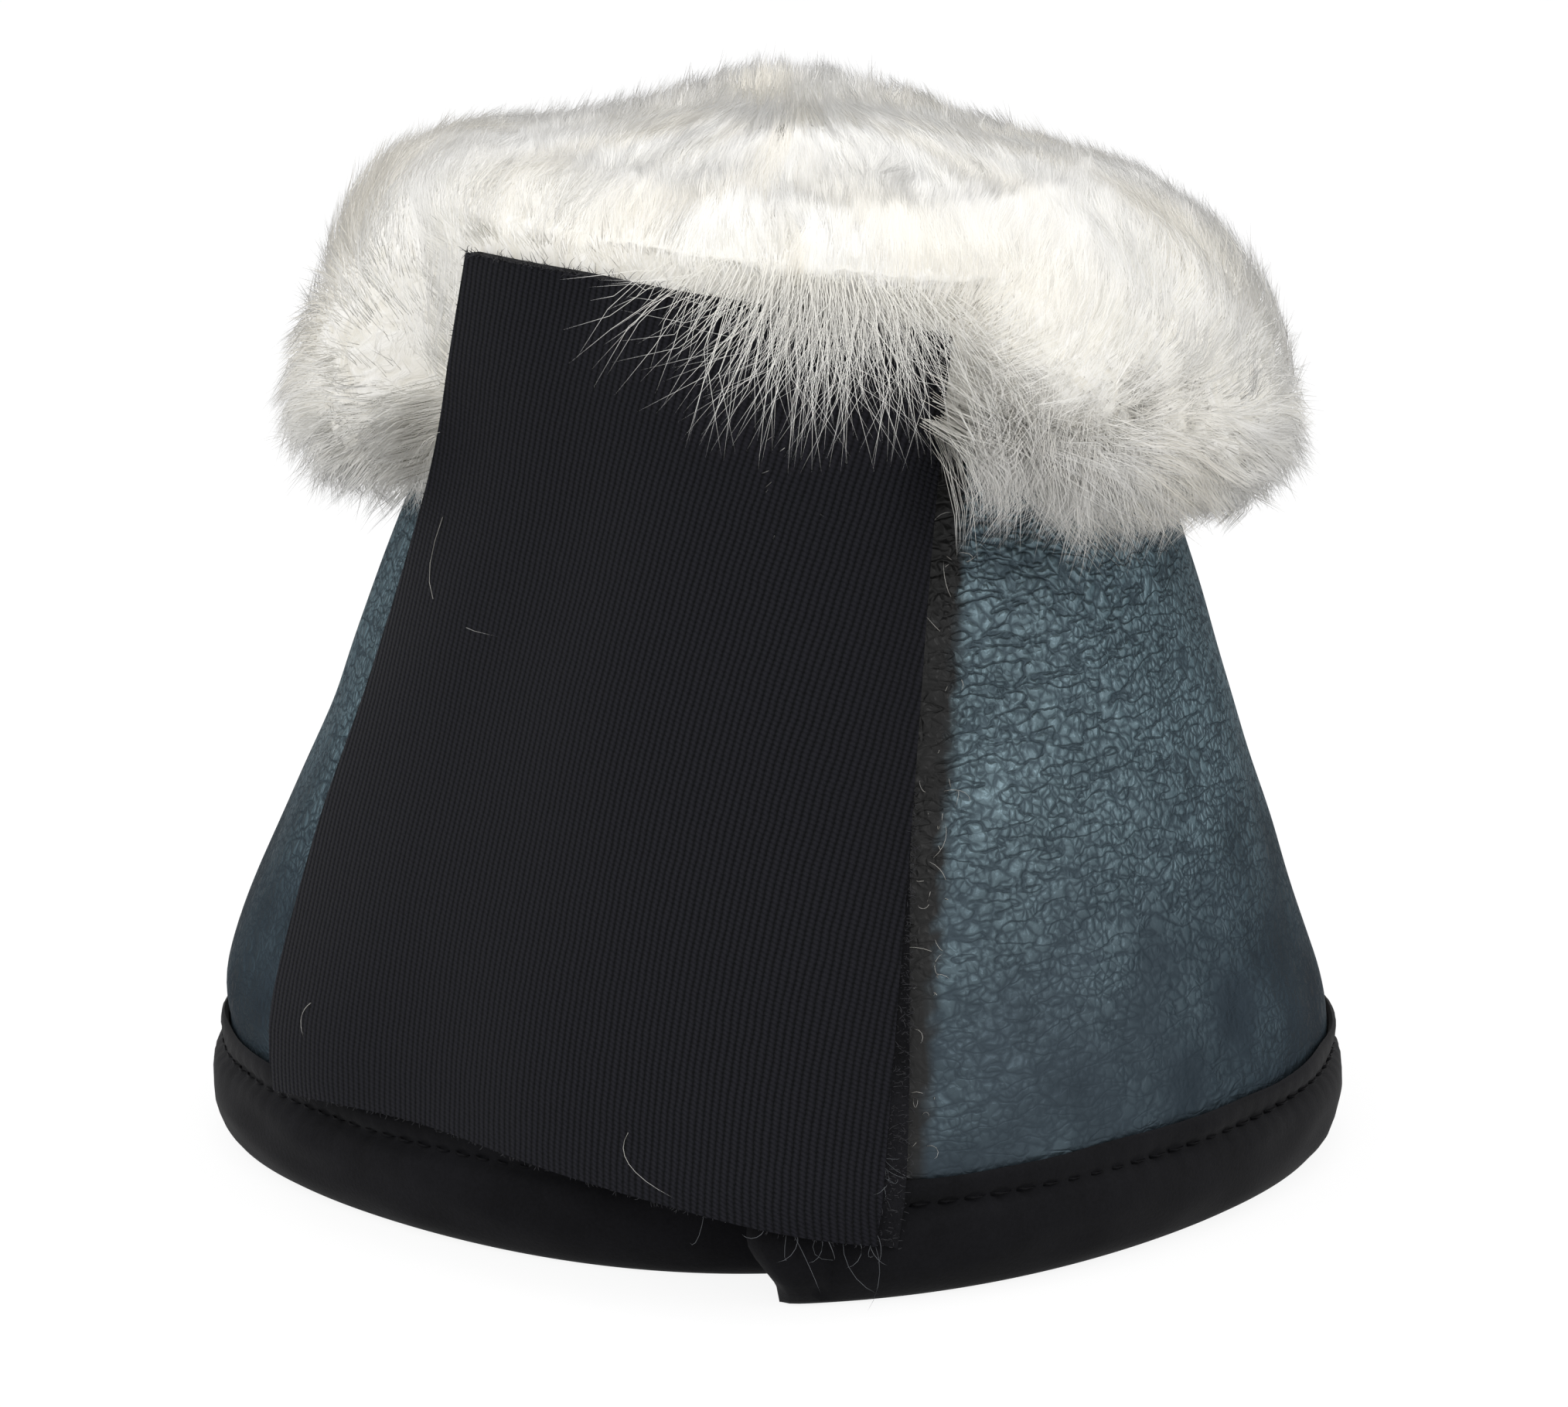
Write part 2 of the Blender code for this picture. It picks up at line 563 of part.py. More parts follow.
def add_half(name, side, finish, body):
    """Everything that one half of the boot carries, apart from the closure."""
    add_layer(name + "_outer_leather", side, 0, LEATHER_THICK, finish["leather"], body)
    add_layer(name + "_foam_core", side, LEATHER_THICK + CLEAR, FOAM_THICK, finish["foam"], body)
    add_layer(name + "_lining", side, WALL_THICK - LINING_THICK, LINING_THICK, finish["lining"], body)
    add_hem(name + "_hem_binding", side, finish["hem"], body)
    add_hem_thread(name + "_hem_thread", side, finish["thread"], body)
    add_end_tape(name + "_end_tape", side, finish["tape"], body)
    add_collar_pad(name + "_collar_pad", side, finish["pad"], body)
    add_fur(name + "_collar_fur", side, finish["fur"], body)


def add_closure(finish, left, right, bend, panel):
    """The loop patch, and the flap in its sewn, bending and free stretches."""
    add_loop_patch("loop_patch", finish["loop"], left)
    add_patch_thread("loop_patch_thread", finish["thread"], left)
    hook_inset = FABRIC_THICK + CLEAR
    stretches = (
        ("flap_anchor", 4, None, FOLD_TURN, right),
        ("flap_bend", 2, FOLD_TURN, BEND_END, bend),
        ("flap_panel", 12, BEND_END, None, panel),
    )
    for name, columns, near, far, body in stretches:
        add_flap_piece(name + "_fabric", columns, near, far, 0, FABRIC_THICK, finish["weave"], body)
        add_flap_piece(name + "_hooks", columns, near, far, hook_inset, HOOK_THICK, finish["hook"], body)


def centre_on_origin():
    """Moves the whole boot so that the middle of its box stands on the origin."""
    bpy.context.view_layer.update()
    points = []
    for part in bpy.data.objects:
        if part.type == "MESH":
            points += [part.matrix_world @ corner.co for corner in part.data.vertices]
    points = np.array([tuple(p) for p in points])
    low, high = points.min(0), points.max(0)
    middle = (low + high) / 2
    for empty in bpy.data.objects:
        if empty.type == "EMPTY" and empty.parent is None:
            empty.location -= Vector((middle[0], middle[1], low[2]))


def build():
    for old in list(bpy.data.objects):
        bpy.data.objects.remove(old)
    finish = finishes()
    left = add_body("left_shell", (0, 0, 0), (0, 0, SHELL_TOP))
    right = add_body("shell_open_axis", *back_hinge_line())
    bend = add_body("flap_bend_axis", *fold_line(FOLD_TURN))
    panel = add_body("flap_peel_axis", *fold_line(BEND_END))
    add_half("left", -1, finish, left)
    add_half("right", 1, finish, right)
    add_closure(finish, left, right, bend, panel)
    centre_on_origin()


build()
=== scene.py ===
"""Looks of a horse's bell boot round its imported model: leather wall, bound hem, pile collar and closing flap.

The world frame is the model's, in metres. A turn is measured from -Y towards +X. The wall is one spiral
strip: its turn psi runs from the right end at 2 degrees round the back at 180 to the left end at 374.
"""
import json
from functools import partial
from math import cos, pi, radians, sin

import bpy
import numpy as np
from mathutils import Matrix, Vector


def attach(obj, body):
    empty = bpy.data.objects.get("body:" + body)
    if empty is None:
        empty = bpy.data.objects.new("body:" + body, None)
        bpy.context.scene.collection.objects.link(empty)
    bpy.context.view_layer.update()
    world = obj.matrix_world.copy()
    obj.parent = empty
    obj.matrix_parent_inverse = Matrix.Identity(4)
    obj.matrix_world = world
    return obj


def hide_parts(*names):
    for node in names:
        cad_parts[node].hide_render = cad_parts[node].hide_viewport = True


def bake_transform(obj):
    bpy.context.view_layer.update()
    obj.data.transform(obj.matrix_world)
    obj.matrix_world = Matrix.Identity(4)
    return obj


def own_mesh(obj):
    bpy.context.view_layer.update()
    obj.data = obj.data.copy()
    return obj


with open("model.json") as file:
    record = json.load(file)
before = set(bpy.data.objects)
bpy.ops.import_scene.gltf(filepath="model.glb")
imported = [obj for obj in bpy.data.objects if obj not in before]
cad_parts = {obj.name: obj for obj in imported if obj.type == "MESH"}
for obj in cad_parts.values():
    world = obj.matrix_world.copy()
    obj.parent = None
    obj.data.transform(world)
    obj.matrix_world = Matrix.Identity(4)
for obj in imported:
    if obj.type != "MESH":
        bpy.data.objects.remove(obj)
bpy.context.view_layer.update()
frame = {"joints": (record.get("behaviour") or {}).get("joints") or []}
MM = 0.001
TURN = 2 * pi

# Sizes repeated from the part's source
CLEAR = 0.3 * MM
SLIDE_GAP = 0.4 * MM
LAP_GAP = 0.9 * MM
AXIS_CLEAR = 0.4 * MM
LEATHER_THICK = 1.2 * MM
FOAM_THICK = 4.4 * MM
LINING_THICK = 0.8 * MM
WALL_THICK = LEATHER_THICK + CLEAR + FOAM_THICK + CLEAR + LINING_THICK
TAPE_THICK = 0.5 * MM
TAPE_LIP = 4.0 * MM
SHELL_TOP = 108 * MM
NECK_RADIUS = 43.4 * MM
SKIRT_RADIUS = 71.6 * MM
TUCK_TOP = 24 * MM
TUCK_END = 12 * MM
LEAN_SHIFT = 3.4 * MM
LEAN_PIVOT = 80 * MM
TOP_TILT = 3.0 * MM
FLAT_DEPTH = 3.5 * MM
BELLY_DEPTH = 2.25 * MM
BELLY_TOP = 62 * MM
BELLY_POWER = 0.545
HOLLOW_DEPTH = 0.75 * MM
HOLLOW_TOP = 40 * MM
WIND_POWER = 1.5
RIGHT_END = radians(2)
LEFT_END = radians(374)
HEM_TOP = 15.5 * MM
HEM_BULGE = 2.0 * MM
HEM_BACK = 2.0 * MM
HEM_FLOOR = 3.0 * MM
HEM_THICK = HEM_BULGE + WALL_THICK + HEM_BACK
HEM_SPREAD = (HEM_THICK + LAP_GAP) / 2
TOP_SPREAD = (WALL_THICK + CLEAR + TAPE_THICK + LAP_GAP) / 2 + CLEAR
FUR_CENTRE_Z = 107 * MM
FUR_UP = 25 * MM
FUR_DOWN = 21 * MM
FUR_OUT = 23.5 * MM
FUR_IN = 13.5 * MM
FUR_SQUARE = 2.5
FUR_FOOT = FUR_CENTRE_Z - FUR_DOWN
TAB_TOP = FUR_FOOT - 6 * MM
OVERHANG_GAP = 1.0 * MM
PRESS_MARGIN = radians(3)
PRESS_FADE = radians(8)
LEFT_FUR_END = radians(360.6)
RIGHT_FUR_END = radians(2.4)
FABRIC_THICK = 1.0 * MM
HOOK_THICK = 1.1 * MM
PATCH_THICK = 1.2 * MM
FLAP_THICK = FABRIC_THICK + CLEAR + HOOK_THICK
RIGHT_STAND = CLEAR + TAPE_THICK + SLIDE_GAP + FLAP_THICK
LEFT_STAND = CLEAR + PATCH_THICK + SLIDE_GAP + FLAP_THICK
FOOT_LIFT = HEM_BULGE + SLIDE_GAP + FLAP_THICK - RIGHT_STAND
FOOT_LIFT_TOP = 22 * MM
FLAP_RIGHT_TURNS = (radians(9.9), radians(15.3), radians(23.8))
FLAP_LEFT_TURNS = (radians(-59.1), radians(-64.4), radians(-51.9))
FLAP_FOOT = (8.6 * MM, 16.4 * MM, 15.2 * MM)
FLAP_HEAD = (114.9 * MM, 120.7 * MM, 123.0 * MM)
LIFT_START = 75 * MM
LIFT_REACH = 48 * MM
RIGHT_LIFT = 5 * MM
LEFT_LIFT = 12 * MM
HUG_START = radians(5)
HUG_END = radians(-45)
FOLD_TURN = radians(4)
BEND_END = radians(1.5)
SEAM_TURN = radians(2.75)
PATCH_RIGHT = radians(-12)
PATCH_LEFT = radians(-47)
PATCH_FOOT = HEM_TOP + 9 * MM
PATCH_HEAD = FUR_FOOT - 9 * MM

# The back strip between the halves is made of pieces of its own; the rest of each half rides on that half
STRIP_START = radians(152)
STRIP_END = radians(208)


# Shapes shared with the solids

def smooth(x):
    """Rises from 0 to 1 with level ends."""
    x = np.clip(x, 0, 1)
    return x * x * (3 - 2 * x)


def through(x, values):
    """The parabola that takes three values at x = 0, a half and 1."""
    low, middle, high = values
    return low + x * (high - low) + x * (1 - x) * (4 * middle - 2 * low - 2 * high)


def wall_radius(z):
    """Straight cone, which turns down to an upright foot between TUCK_TOP and TUCK_END."""
    slope = (SKIRT_RADIUS - NECK_RADIUS) / (SHELL_TOP - TUCK_TOP)
    down = np.clip(TUCK_TOP - z, 0, TUCK_TOP - TUCK_END)
    turned = slope * (down - down ** 2 / (2 * (TUCK_TOP - TUCK_END)))
    return SKIRT_RADIUS - slope * np.maximum(z - TUCK_TOP, 0) + turned


def plan(psi, z):
    """How the wall leaves the round: flat beside the closure, fuller on the left, hollower on the right."""
    front = np.where(np.cos(psi) > 0, np.sin(2 * psi) ** 2, 0)
    flat = FLAT_DEPTH * front * (1 - np.clip(z / SHELL_TOP, 0, 1))
    rise = np.clip((z - HEM_TOP) / (BELLY_TOP - HEM_TOP), 0, 1)
    belly = BELLY_DEPTH * np.sin(pi * rise ** BELLY_POWER) ** 2
    hollow = HOLLOW_DEPTH * smooth((z - HEM_TOP) / (HOLLOW_TOP - HEM_TOP))
    return belly * np.maximum(-np.sin(psi), 0) - hollow * np.maximum(np.sin(psi), 0) - flat


def winding(psi, z):
    """How far the spiral stands out of the mean cone: out at the right end, in at the left, 0 at the back."""
    spread = HEM_SPREAD + (TOP_SPREAD - HEM_SPREAD) * np.clip(z / SHELL_TOP, 0, 1)
    turned = pi - psi
    return np.sign(turned) * spread * (np.abs(turned) / pi) ** WIND_POWER


def lean(z):
    """The cone leans a little to the right as it rises."""
    return LEAN_SHIFT * (z - LEAN_PIVOT) / SHELL_TOP


def tilted(psi, z):
    """The top edge is lower on the right, and the heights under it follow down to the hem."""
    share = np.clip((z - HEM_TOP) / (SHELL_TOP - HEM_TOP), 0, 1)
    return z - TOP_TILT * np.sin(psi) * share


def ring_centre():
    """The middle of the ring in the model's frame, from the hinge line down the back."""
    low = 0.42 * HEM_TOP
    foot = next(joint["pos_m"] for joint in frame["joints"] if joint["name"] == "shell_open")
    return foot[0] - lean((low + FUR_CENTRE_Z) / 2), foot[1] - wall_radius(low) - HEM_BULGE - AXIS_CLEAR


RING_X, RING_Y = ring_centre()


def at(psi, radius, z):
    """Points from turn, radius and height."""
    psi, radius, z = np.broadcast_arrays(psi, radius, z)
    return np.stack((RING_X + radius * np.sin(psi) + lean(z), RING_Y - radius * np.cos(psi), z), -1)


def wall_face(psi, height):
    """Radius of the wall's outer face."""
    return wall_radius(height) + plan(psi, height) + winding(psi, height)


def wall(psi, z, w):
    """Points w outside the wall's outer face, at height z before the tilt."""
    height = tilted(psi, z)
    return at(psi, wall_face(psi, height) + w, height)


def flap_radius(phi, z):
    """Outer face of the flap: it lies on the right half, the hem and the fur, then on the left half."""
    left = smooth((HUG_START - phi) / (HUG_START - HUG_END))
    right_wind = winding(np.maximum(phi, 0), z)
    left_wind = winding(np.minimum(phi, 0) + TURN, z)
    wind = right_wind + (left_wind - right_wind) * left
    stand = RIGHT_STAND + (LEFT_STAND - RIGHT_STAND) * left
    foot = FOOT_LIFT * smooth((FOOT_LIFT_TOP - z) / (FOOT_LIFT_TOP - TUCK_END))
    rise = np.maximum(z - LIFT_START, 0) / LIFT_REACH
    head = (RIGHT_LIFT + (LEFT_LIFT - RIGHT_LIFT) * left) * rise ** 2
    return wall_radius(z) + plan(phi, z) + wind + stand + foot + head


def ripple(u, v, length, seed, waves=14):
    """A smooth random field, mostly -1 to 1: plane waves of about one length in random directions, summed."""
    draw = np.random.default_rng(seed)
    total = 0
    for turn, shift, size in zip(*draw.uniform((0, 0, 0.7), (TURN, TURN, 1.4), (waves, 3)).T):
        total = total + np.sin(TURN * (u * cos(turn) + v * sin(turn)) / (size * length) + shift)
    return total / np.sqrt(waves)


# Meshes

def add_piece(name, points, quads, tris, finish):
    """One smooth mesh object from arrays of points, four-sided and three-sided faces."""
    mesh = bpy.data.meshes.new(name)
    mesh.vertices.add(len(points))
    mesh.vertices.foreach_set("co", np.ascontiguousarray(points, np.float32).ravel())
    corners = np.concatenate((np.ravel(quads), np.ravel(tris))).astype(np.int32)
    starts = np.concatenate((4 * np.arange(len(quads)), 4 * len(quads) + 3 * np.arange(len(tris))))
    mesh.loops.add(len(corners))
    mesh.loops.foreach_set("vertex_index", corners)
    mesh.polygons.add(len(starts))
    mesh.polygons.foreach_set("loop_start", starts.astype(np.int32))
    mesh.update(calc_edges=True)
    mesh.shade_smooth()
    mesh.materials.append(finish)
    piece = bpy.data.objects.new(name, mesh)
    bpy.context.scene.collection.objects.link(piece)
    return piece


def set_map(piece, name, corners):
    """A UV map from one (u, v) pair for each face corner."""
    layer = piece.data.uv_layers.new(name=name)
    layer.uv.foreach_set("vector", np.ascontiguousarray(corners, np.float32).ravel())


def set_value(piece, name, values):
    """A number at each point, that a material can read."""
    layer = piece.data.attributes.new(name, "FLOAT", "POINT")
    layer.data.foreach_set("value", np.ascontiguousarray(values, np.float32).ravel())


def cut_size(outer):
    """The flat size of the cloth that a grid of points follows: its longest row each way, and its area."""
    wide = np.linalg.norm(np.diff(outer, axis=0), axis=-1).sum(0).max()
    tall = np.linalg.norm(np.diff(outer, axis=1), axis=-1).sum(1).max()
    side, up = outer[1:, :-1] - outer[:-1, :-1], outer[:-1, 1:] - outer[:-1, :-1]
    area = np.linalg.norm(np.cross(side, up), axis=-1).sum()
    return {"flat": (float(wide), float(tall)), "area": float(min(area, wide * tall))}


def add_slab(name, outer, inner, cloth, finish):
    """The closed solid between two grids of points. cloth is the grid's place on the flat cloth, metres."""
    columns, rows = outer.shape[:2]
    count = columns * rows
    key = np.arange(count).reshape(columns, rows)
    face = np.stack((key[:-1, :-1], key[1:, :-1], key[1:, 1:], key[:-1, 1:]), -1).reshape(-1, 4)
    edge = np.concatenate((key[:, 0], key[-1, 1:], key[-2::-1, -1], key[0, -2:0:-1]))
    after = np.roll(edge, -1)
    rim = np.stack((after, edge, edge + count, after + count), -1)
    points = np.concatenate((outer.reshape(-1, 3), inner.reshape(-1, 3)))
    quads = np.concatenate((face, face[:, ::-1] + count, rim))
    piece = add_piece(name, points, quads, np.zeros((0, 3), int), finish)
    piece.data.set_sharp_from_angle(angle=radians(50))
    u, v = np.meshgrid(np.linspace(0.01, 0.99, columns), np.linspace(0, 1, rows), indexing="ij")
    flat = np.stack((u, v), -1).reshape(-1, 2)
    share = np.linspace(0, 1, len(edge) + 1)
    strip = np.stack((share[:-1], share[1:], share[1:], share[:-1]), -1)[:, [1, 0, 3, 2]]
    level = np.broadcast_to((0.49, 0.49, 0.51, 0.51), strip.shape)
    upper = flat[face] * (1, 0.47)
    lower = flat[face[:, ::-1]] * (1, 0.47) + (0, 0.53)
    set_map(piece, "OFBake", np.concatenate((upper, lower, np.stack((strip, level), -1))))
    both = np.concatenate((cloth.reshape(-1, 2), cloth.reshape(-1, 2)))
    set_map(piece, "cloth", both[quads])
    return piece


def add_tube(name, rings, finish):
    """A closed tube through rings of points, capped at both ends by fans."""
    count, sides = rings.shape[:2]
    i, j = np.meshgrid(np.arange(count - 1), np.arange(sides), indexing="ij")
    turn = (j + 1) % sides
    near, far = i * sides, (i + 1) * sides
    quads = np.stack((near + j, far + j, far + turn, near + turn), -1).reshape(-1, 4)
    points = np.concatenate((rings.reshape(-1, 3), rings[[0, -1]].mean(1)))
    k = np.arange(sides)
    after = (k + 1) % sides
    last = (count - 1) * sides
    low = np.stack((np.full(sides, count * sides), k, after), -1)
    high = np.stack((np.full(sides, count * sides + 1), last + after, last + k), -1)
    piece = add_piece(name, points, quads, np.concatenate((low, high)), finish)
    piece.data.set_sharp_from_angle(angle=radians(60))
    u = np.stack((i, i + 1, i + 1, i), -1) / (count - 1)
    v = np.stack((j, j, j + 1, j + 1), -1) / sides * 0.9
    caps = np.full((6 * sides, 2), 0.95)
    set_map(piece, "OFBake", np.concatenate((np.stack((u, v), -1).reshape(-1, 2), caps)))
    return piece


def map_tube(piece, along, around):
    """The tube's flat place in metres: along it, and round its section."""
    columns, sides = len(along) - 1, len(around)
    i, j = np.meshgrid(np.arange(columns), np.arange(sides), indexing="ij")
    after = np.append(around, around[-1] + MM)
    u = along[np.stack((i, i + 1, i + 1, i), -1)]
    v = after[np.stack((j, j, j + 1, j + 1), -1)]
    set_map(piece, "cloth", np.concatenate((np.stack((u, v), -1).reshape(-1, 2), np.zeros((6 * sides, 2)))))


def add_hairs(name, paths, radius, tint, finish, normals=None):
    """Closed three-sided hairs. A path has one point a ring and a tip.

    A ring's size falls as the root of what is left. Given normals, a hair turns one flat side that way and is
    shaded as if it all faced there.
    """
    count, rings = len(paths), paths.shape[1] - 1
    along = paths[:, 1:] - paths[:, :-1]
    along /= np.linalg.norm(along, axis=-1, keepdims=True) + 1e-12
    flat = np.full((count, 3), (0.31, 0.52, 0.79)) if normals is None else normals
    over = np.cross(along, flat[:, None])
    over /= np.linalg.norm(over, axis=-1, keepdims=True) + 1e-12
    across = np.cross(over, along)
    taper = np.sqrt(1 - np.arange(rings) / rings)
    size = np.broadcast_to(radius, (count,))[:, None, None] * taper[None, :, None]
    turns = (-TURN / 6, TURN / 6, TURN / 2)
    corners = [paths[:, :-1] + size * (cos(turn) * across + sin(turn) * over) for turn in turns]
    points = np.concatenate((np.stack(corners, 2).reshape(count, -1, 3), paths[:, -1:]), 1)
    each = points.shape[1]
    j = np.arange(3)
    turn = (j + 1) % 3
    ring = np.stack((j, turn, 3 + turn, 3 + j), -1)
    quads = np.concatenate([3 * i + ring for i in range(rings - 1)])
    last = 3 * (rings - 1)
    tris = np.concatenate(([[0, 2, 1]], np.stack((last + j, last + turn, np.full(3, each - 1)), -1)))
    shift = each * np.arange(count)[:, None, None]
    all_quads, all_tris = (quads + shift).reshape(-1, 4), (tris + shift).reshape(-1, 3)
    piece = add_piece(name, points.reshape(-1, 3), all_quads, all_tris, finish)
    cells = int(np.ceil(np.sqrt(count)))
    corner = np.stack((np.arange(count) % cells, np.arange(count) // cells), -1)[:, None] / cells
    ring = np.minimum(np.arange(each) // 3, rings)
    place = np.stack((np.arange(each) % 3 / 3 + 0.1, ring / rings * 0.9 + 0.05), -1) * 0.9 / cells
    place[-1, 0] = 0.5 / cells
    spots = (corner + place[None]).reshape(-1, 2)
    set_map(piece, "OFBake", spots[np.concatenate((all_quads.ravel(), all_tris.ravel()))])
    if normals is not None:
        piece.data.normals_split_custom_set_from_vertices(np.repeat(normals, each, 0))
    set_value(piece, "along", np.broadcast_to(ring / rings, (count, each)))
    set_value(piece, "tint", np.broadcast_to(np.reshape(tint, (-1, 1)), (count, each)))
    return piece


# Finishes

def hexed(text):
    """Linear RGBA from an sRGB hex value."""
    parts = [int(text[i:i + 2], 16) / 255 for i in (0, 2, 4)]
    return (*(p / 12.92 if p <= 0.04045 else ((p + 0.055) / 1.055) ** 2.4 for p in parts), 1.0)


def node(tree, kind, inputs=(), out=0, stops=(), **settings):
    """Adds a node: settings are its properties, inputs gives sockets values or other nodes' outputs.

    inputs are in the sockets' order, or by their names or numbers. stops are a colour ramp's places and sRGB
    hex values: its first, its last, and then any between.
    """
    made = tree.nodes.new("ShaderNode" + kind)
    for name, value in settings.items():
        setattr(made, name, value)
    for number, (place, colour) in enumerate(stops):
        stop = made.color_ramp.elements[number] if number < 2 else made.color_ramp.elements.new(place)
        stop.position, stop.color = place, hexed(colour)
    for name, value in inputs.items() if isinstance(inputs, dict) else enumerate(inputs):
        if isinstance(value, bpy.types.NodeSocket):
            tree.links.new(value, made.inputs[name])
        else:
            made.inputs[name].default_value = value
    return made.outputs[out] if len(made.outputs) else made


def new_finish(name):
    """An empty material, and what adds a node to it."""
    made = bpy.data.materials.new(name)
    made.use_nodes = True
    made.node_tree.nodes.clear()
    return made, partial(node, made.node_tree)


def finished(made, settings):
    """The material, ended with one plain shader of these settings."""
    add = partial(node, made.node_tree)
    add("OutputMaterial", (add("BsdfPrincipled", settings),))
    return made


def grained_leather():
    """Split leather with a pressed pebble grain under a satin pearl coat.

    The pebbles are pillows with narrow creases between them, finer ones in patches, and long shallow
    wrinkles that run round the cone. Shade is painted into the colour: it darkens the creases and wrinkles,
    and the leather above the hem, on the left half and beside the flap's sewn edge, where dust is painted too.
    The mica in the coat gives a bluish gleam that dies away at a glancing angle. Lengths are in millimetres.
    """
    pebble, fine_pebble = 2.3, 1.2
    made, add = new_finish("grained leather, pearl-coated blue-grey")
    place = add("VectorMath", {0: add("TexCoord", out=3), "Scale": 1 / MM}, operation="SCALE")
    drift = add("TexNoise", {"Vector": place, "Scale": 0.3, "Detail": 2.0}, out=1)
    drift = add("VectorMath", {0: drift, "Scale": 1.5}, operation="SCALE")
    warped = add("VectorMath", (place, drift), operation="ADD")
    flatter = add("Mapping", {"Vector": warped, "Scale": (1, 1, 1.25)})
    big = add("TexVoronoi", {"Vector": flatter, "Scale": 1 / pebble}, feature="DISTANCE_TO_EDGE")
    small = add("TexVoronoi", {"Vector": warped, "Scale": 1 / fine_pebble}, feature="DISTANCE_TO_EDGE")
    patch = add("TexNoise", {"Vector": place, "Scale": 0.17, "Detail": 1.0})
    fine = add("MapRange", (patch, 0.38, 0.6, 0.15, 0.75))
    edge = add("Mix", {0: fine, 2: big, 3: small})
    crease = add("MapRange", (edge, 0.0, 0.3), interpolation_type="SMOOTHSTEP")
    pillow = add("MapRange", (edge, 0.0, 0.5))
    grain = add("Math", (pillow, 0.5, crease), operation="MULTIPLY_ADD")
    long = add("Mapping", {"Vector": warped, "Scale": (0.16, 0.16, 0.5)})
    wrinkle = add("TexNoise", {"Vector": long, "Scale": 1.0, "Detail": 1.0})
    wrinkle = add("Math", (wrinkle, 0.5), operation="SUBTRACT")
    wrinkle = add("Math", (wrinkle,), operation="ABSOLUTE")
    wrinkle = add("MapRange", (wrinkle, 0.0, 0.05), interpolation_type="SMOOTHSTEP")
    pores = add("TexNoise", {"Vector": place, "Scale": 2.0, "Detail": 2.0, "Roughness": 0.6})
    height = add("Math", (wrinkle, 0.9, grain), operation="MULTIPLY_ADD")
    height = add("Math", (pores, 0.3, height), operation="MULTIPLY_ADD")
    smooth_and_shaded = add("Attribute", out=2, attribute_name="smooth_and_shaded")
    strength = add("MapRange", (smooth_and_shaded, 0.0, 1.0, 0.85, 0.14))
    waves = add("TexNoise", {"Vector": place, "Scale": 0.12, "Detail": 2.0})
    bump = add("Bump", {"Height": waves, "Distance": 0.0022, "Strength": 0.35})
    bump = add("Bump", {"Height": height, "Distance": 0.0003, "Strength": strength, "Normal": bump})
    # Painted shade: the colour darkens in the pebbles' creases and in the long wrinkles.
    both = add("Math", (crease, wrinkle), operation="MULTIPLY")
    tone = add("ValToRGB", (both,), stops=((0.0, "465259"), (0.45, "67787f")))
    # Painted shade: the smooth-grain mask darkens the leather above the hem, on the left half and by the flap's
    # edge.
    shade_and_dust_tone = add("Mix", {0: smooth_and_shaded, 6: tone, 7: hexed("384148")}, out=2, data_type="RGBA")
    # Painted shade and dust: the strip beside the flap's sewn edge is darkened.
    sewn = add("Attribute", out=2, attribute_name="sewn")
    shade_and_dust_tone = add("Mix", {0: sewn, 6: shade_and_dust_tone, 7: hexed("2f2f2f")}, out=2, data_type="RGBA")
    patchy = add("MapRange", (waves, 0.3, 0.7, 0.9, 1.1))
    colour = add("Mix", {0: 1.0, 6: shade_and_dust_tone, 7: patchy}, out=2, data_type="RGBA", blend_type="MULTIPLY")
    rough = add("MapRange", (both, 0.0, 1.0, 0.55, 0.38))
    settings = {"Base Color": colour, "Roughness": rough, "Normal": bump, "Specular IOR Level": 0.1}
    settings.update({"Metallic": 0.78, "Specular Tint": (0.05, 0.06, 0.07, 1)})
    return finished(made, settings)


def plain_cloth(name, low, high, size, depth, rough, sheen=0.0):
    """A matte cloth or foam: two close tones over a fine random relief of the given size."""
    made, add = new_finish(name)
    place = add("VectorMath", {0: add("TexCoord", out=3), "Scale": 1 / MM}, operation="SCALE")
    fuzz = add("TexNoise", {"Vector": place, "Scale": 1 / size, "Detail": 4.0, "Roughness": 0.65})
    broad = add("TexNoise", {"Vector": place, "Scale": 0.11, "Detail": 2.0})
    both = add("Mix", {0: 0.5, 2: fuzz, 3: broad})
    tone = add("ValToRGB", (both,), stops=((0.36, low), (0.64, high)))
    bump = add("Bump", {"Height": fuzz, "Distance": depth, "Strength": 0.6})
    settings = {"Base Color": tone, "Roughness": rough, "Normal": bump, "Specular IOR Level": 0.05}
    return finished(made, {**settings, "Sheen Weight": sheen, "Sheen Roughness": 0.5})


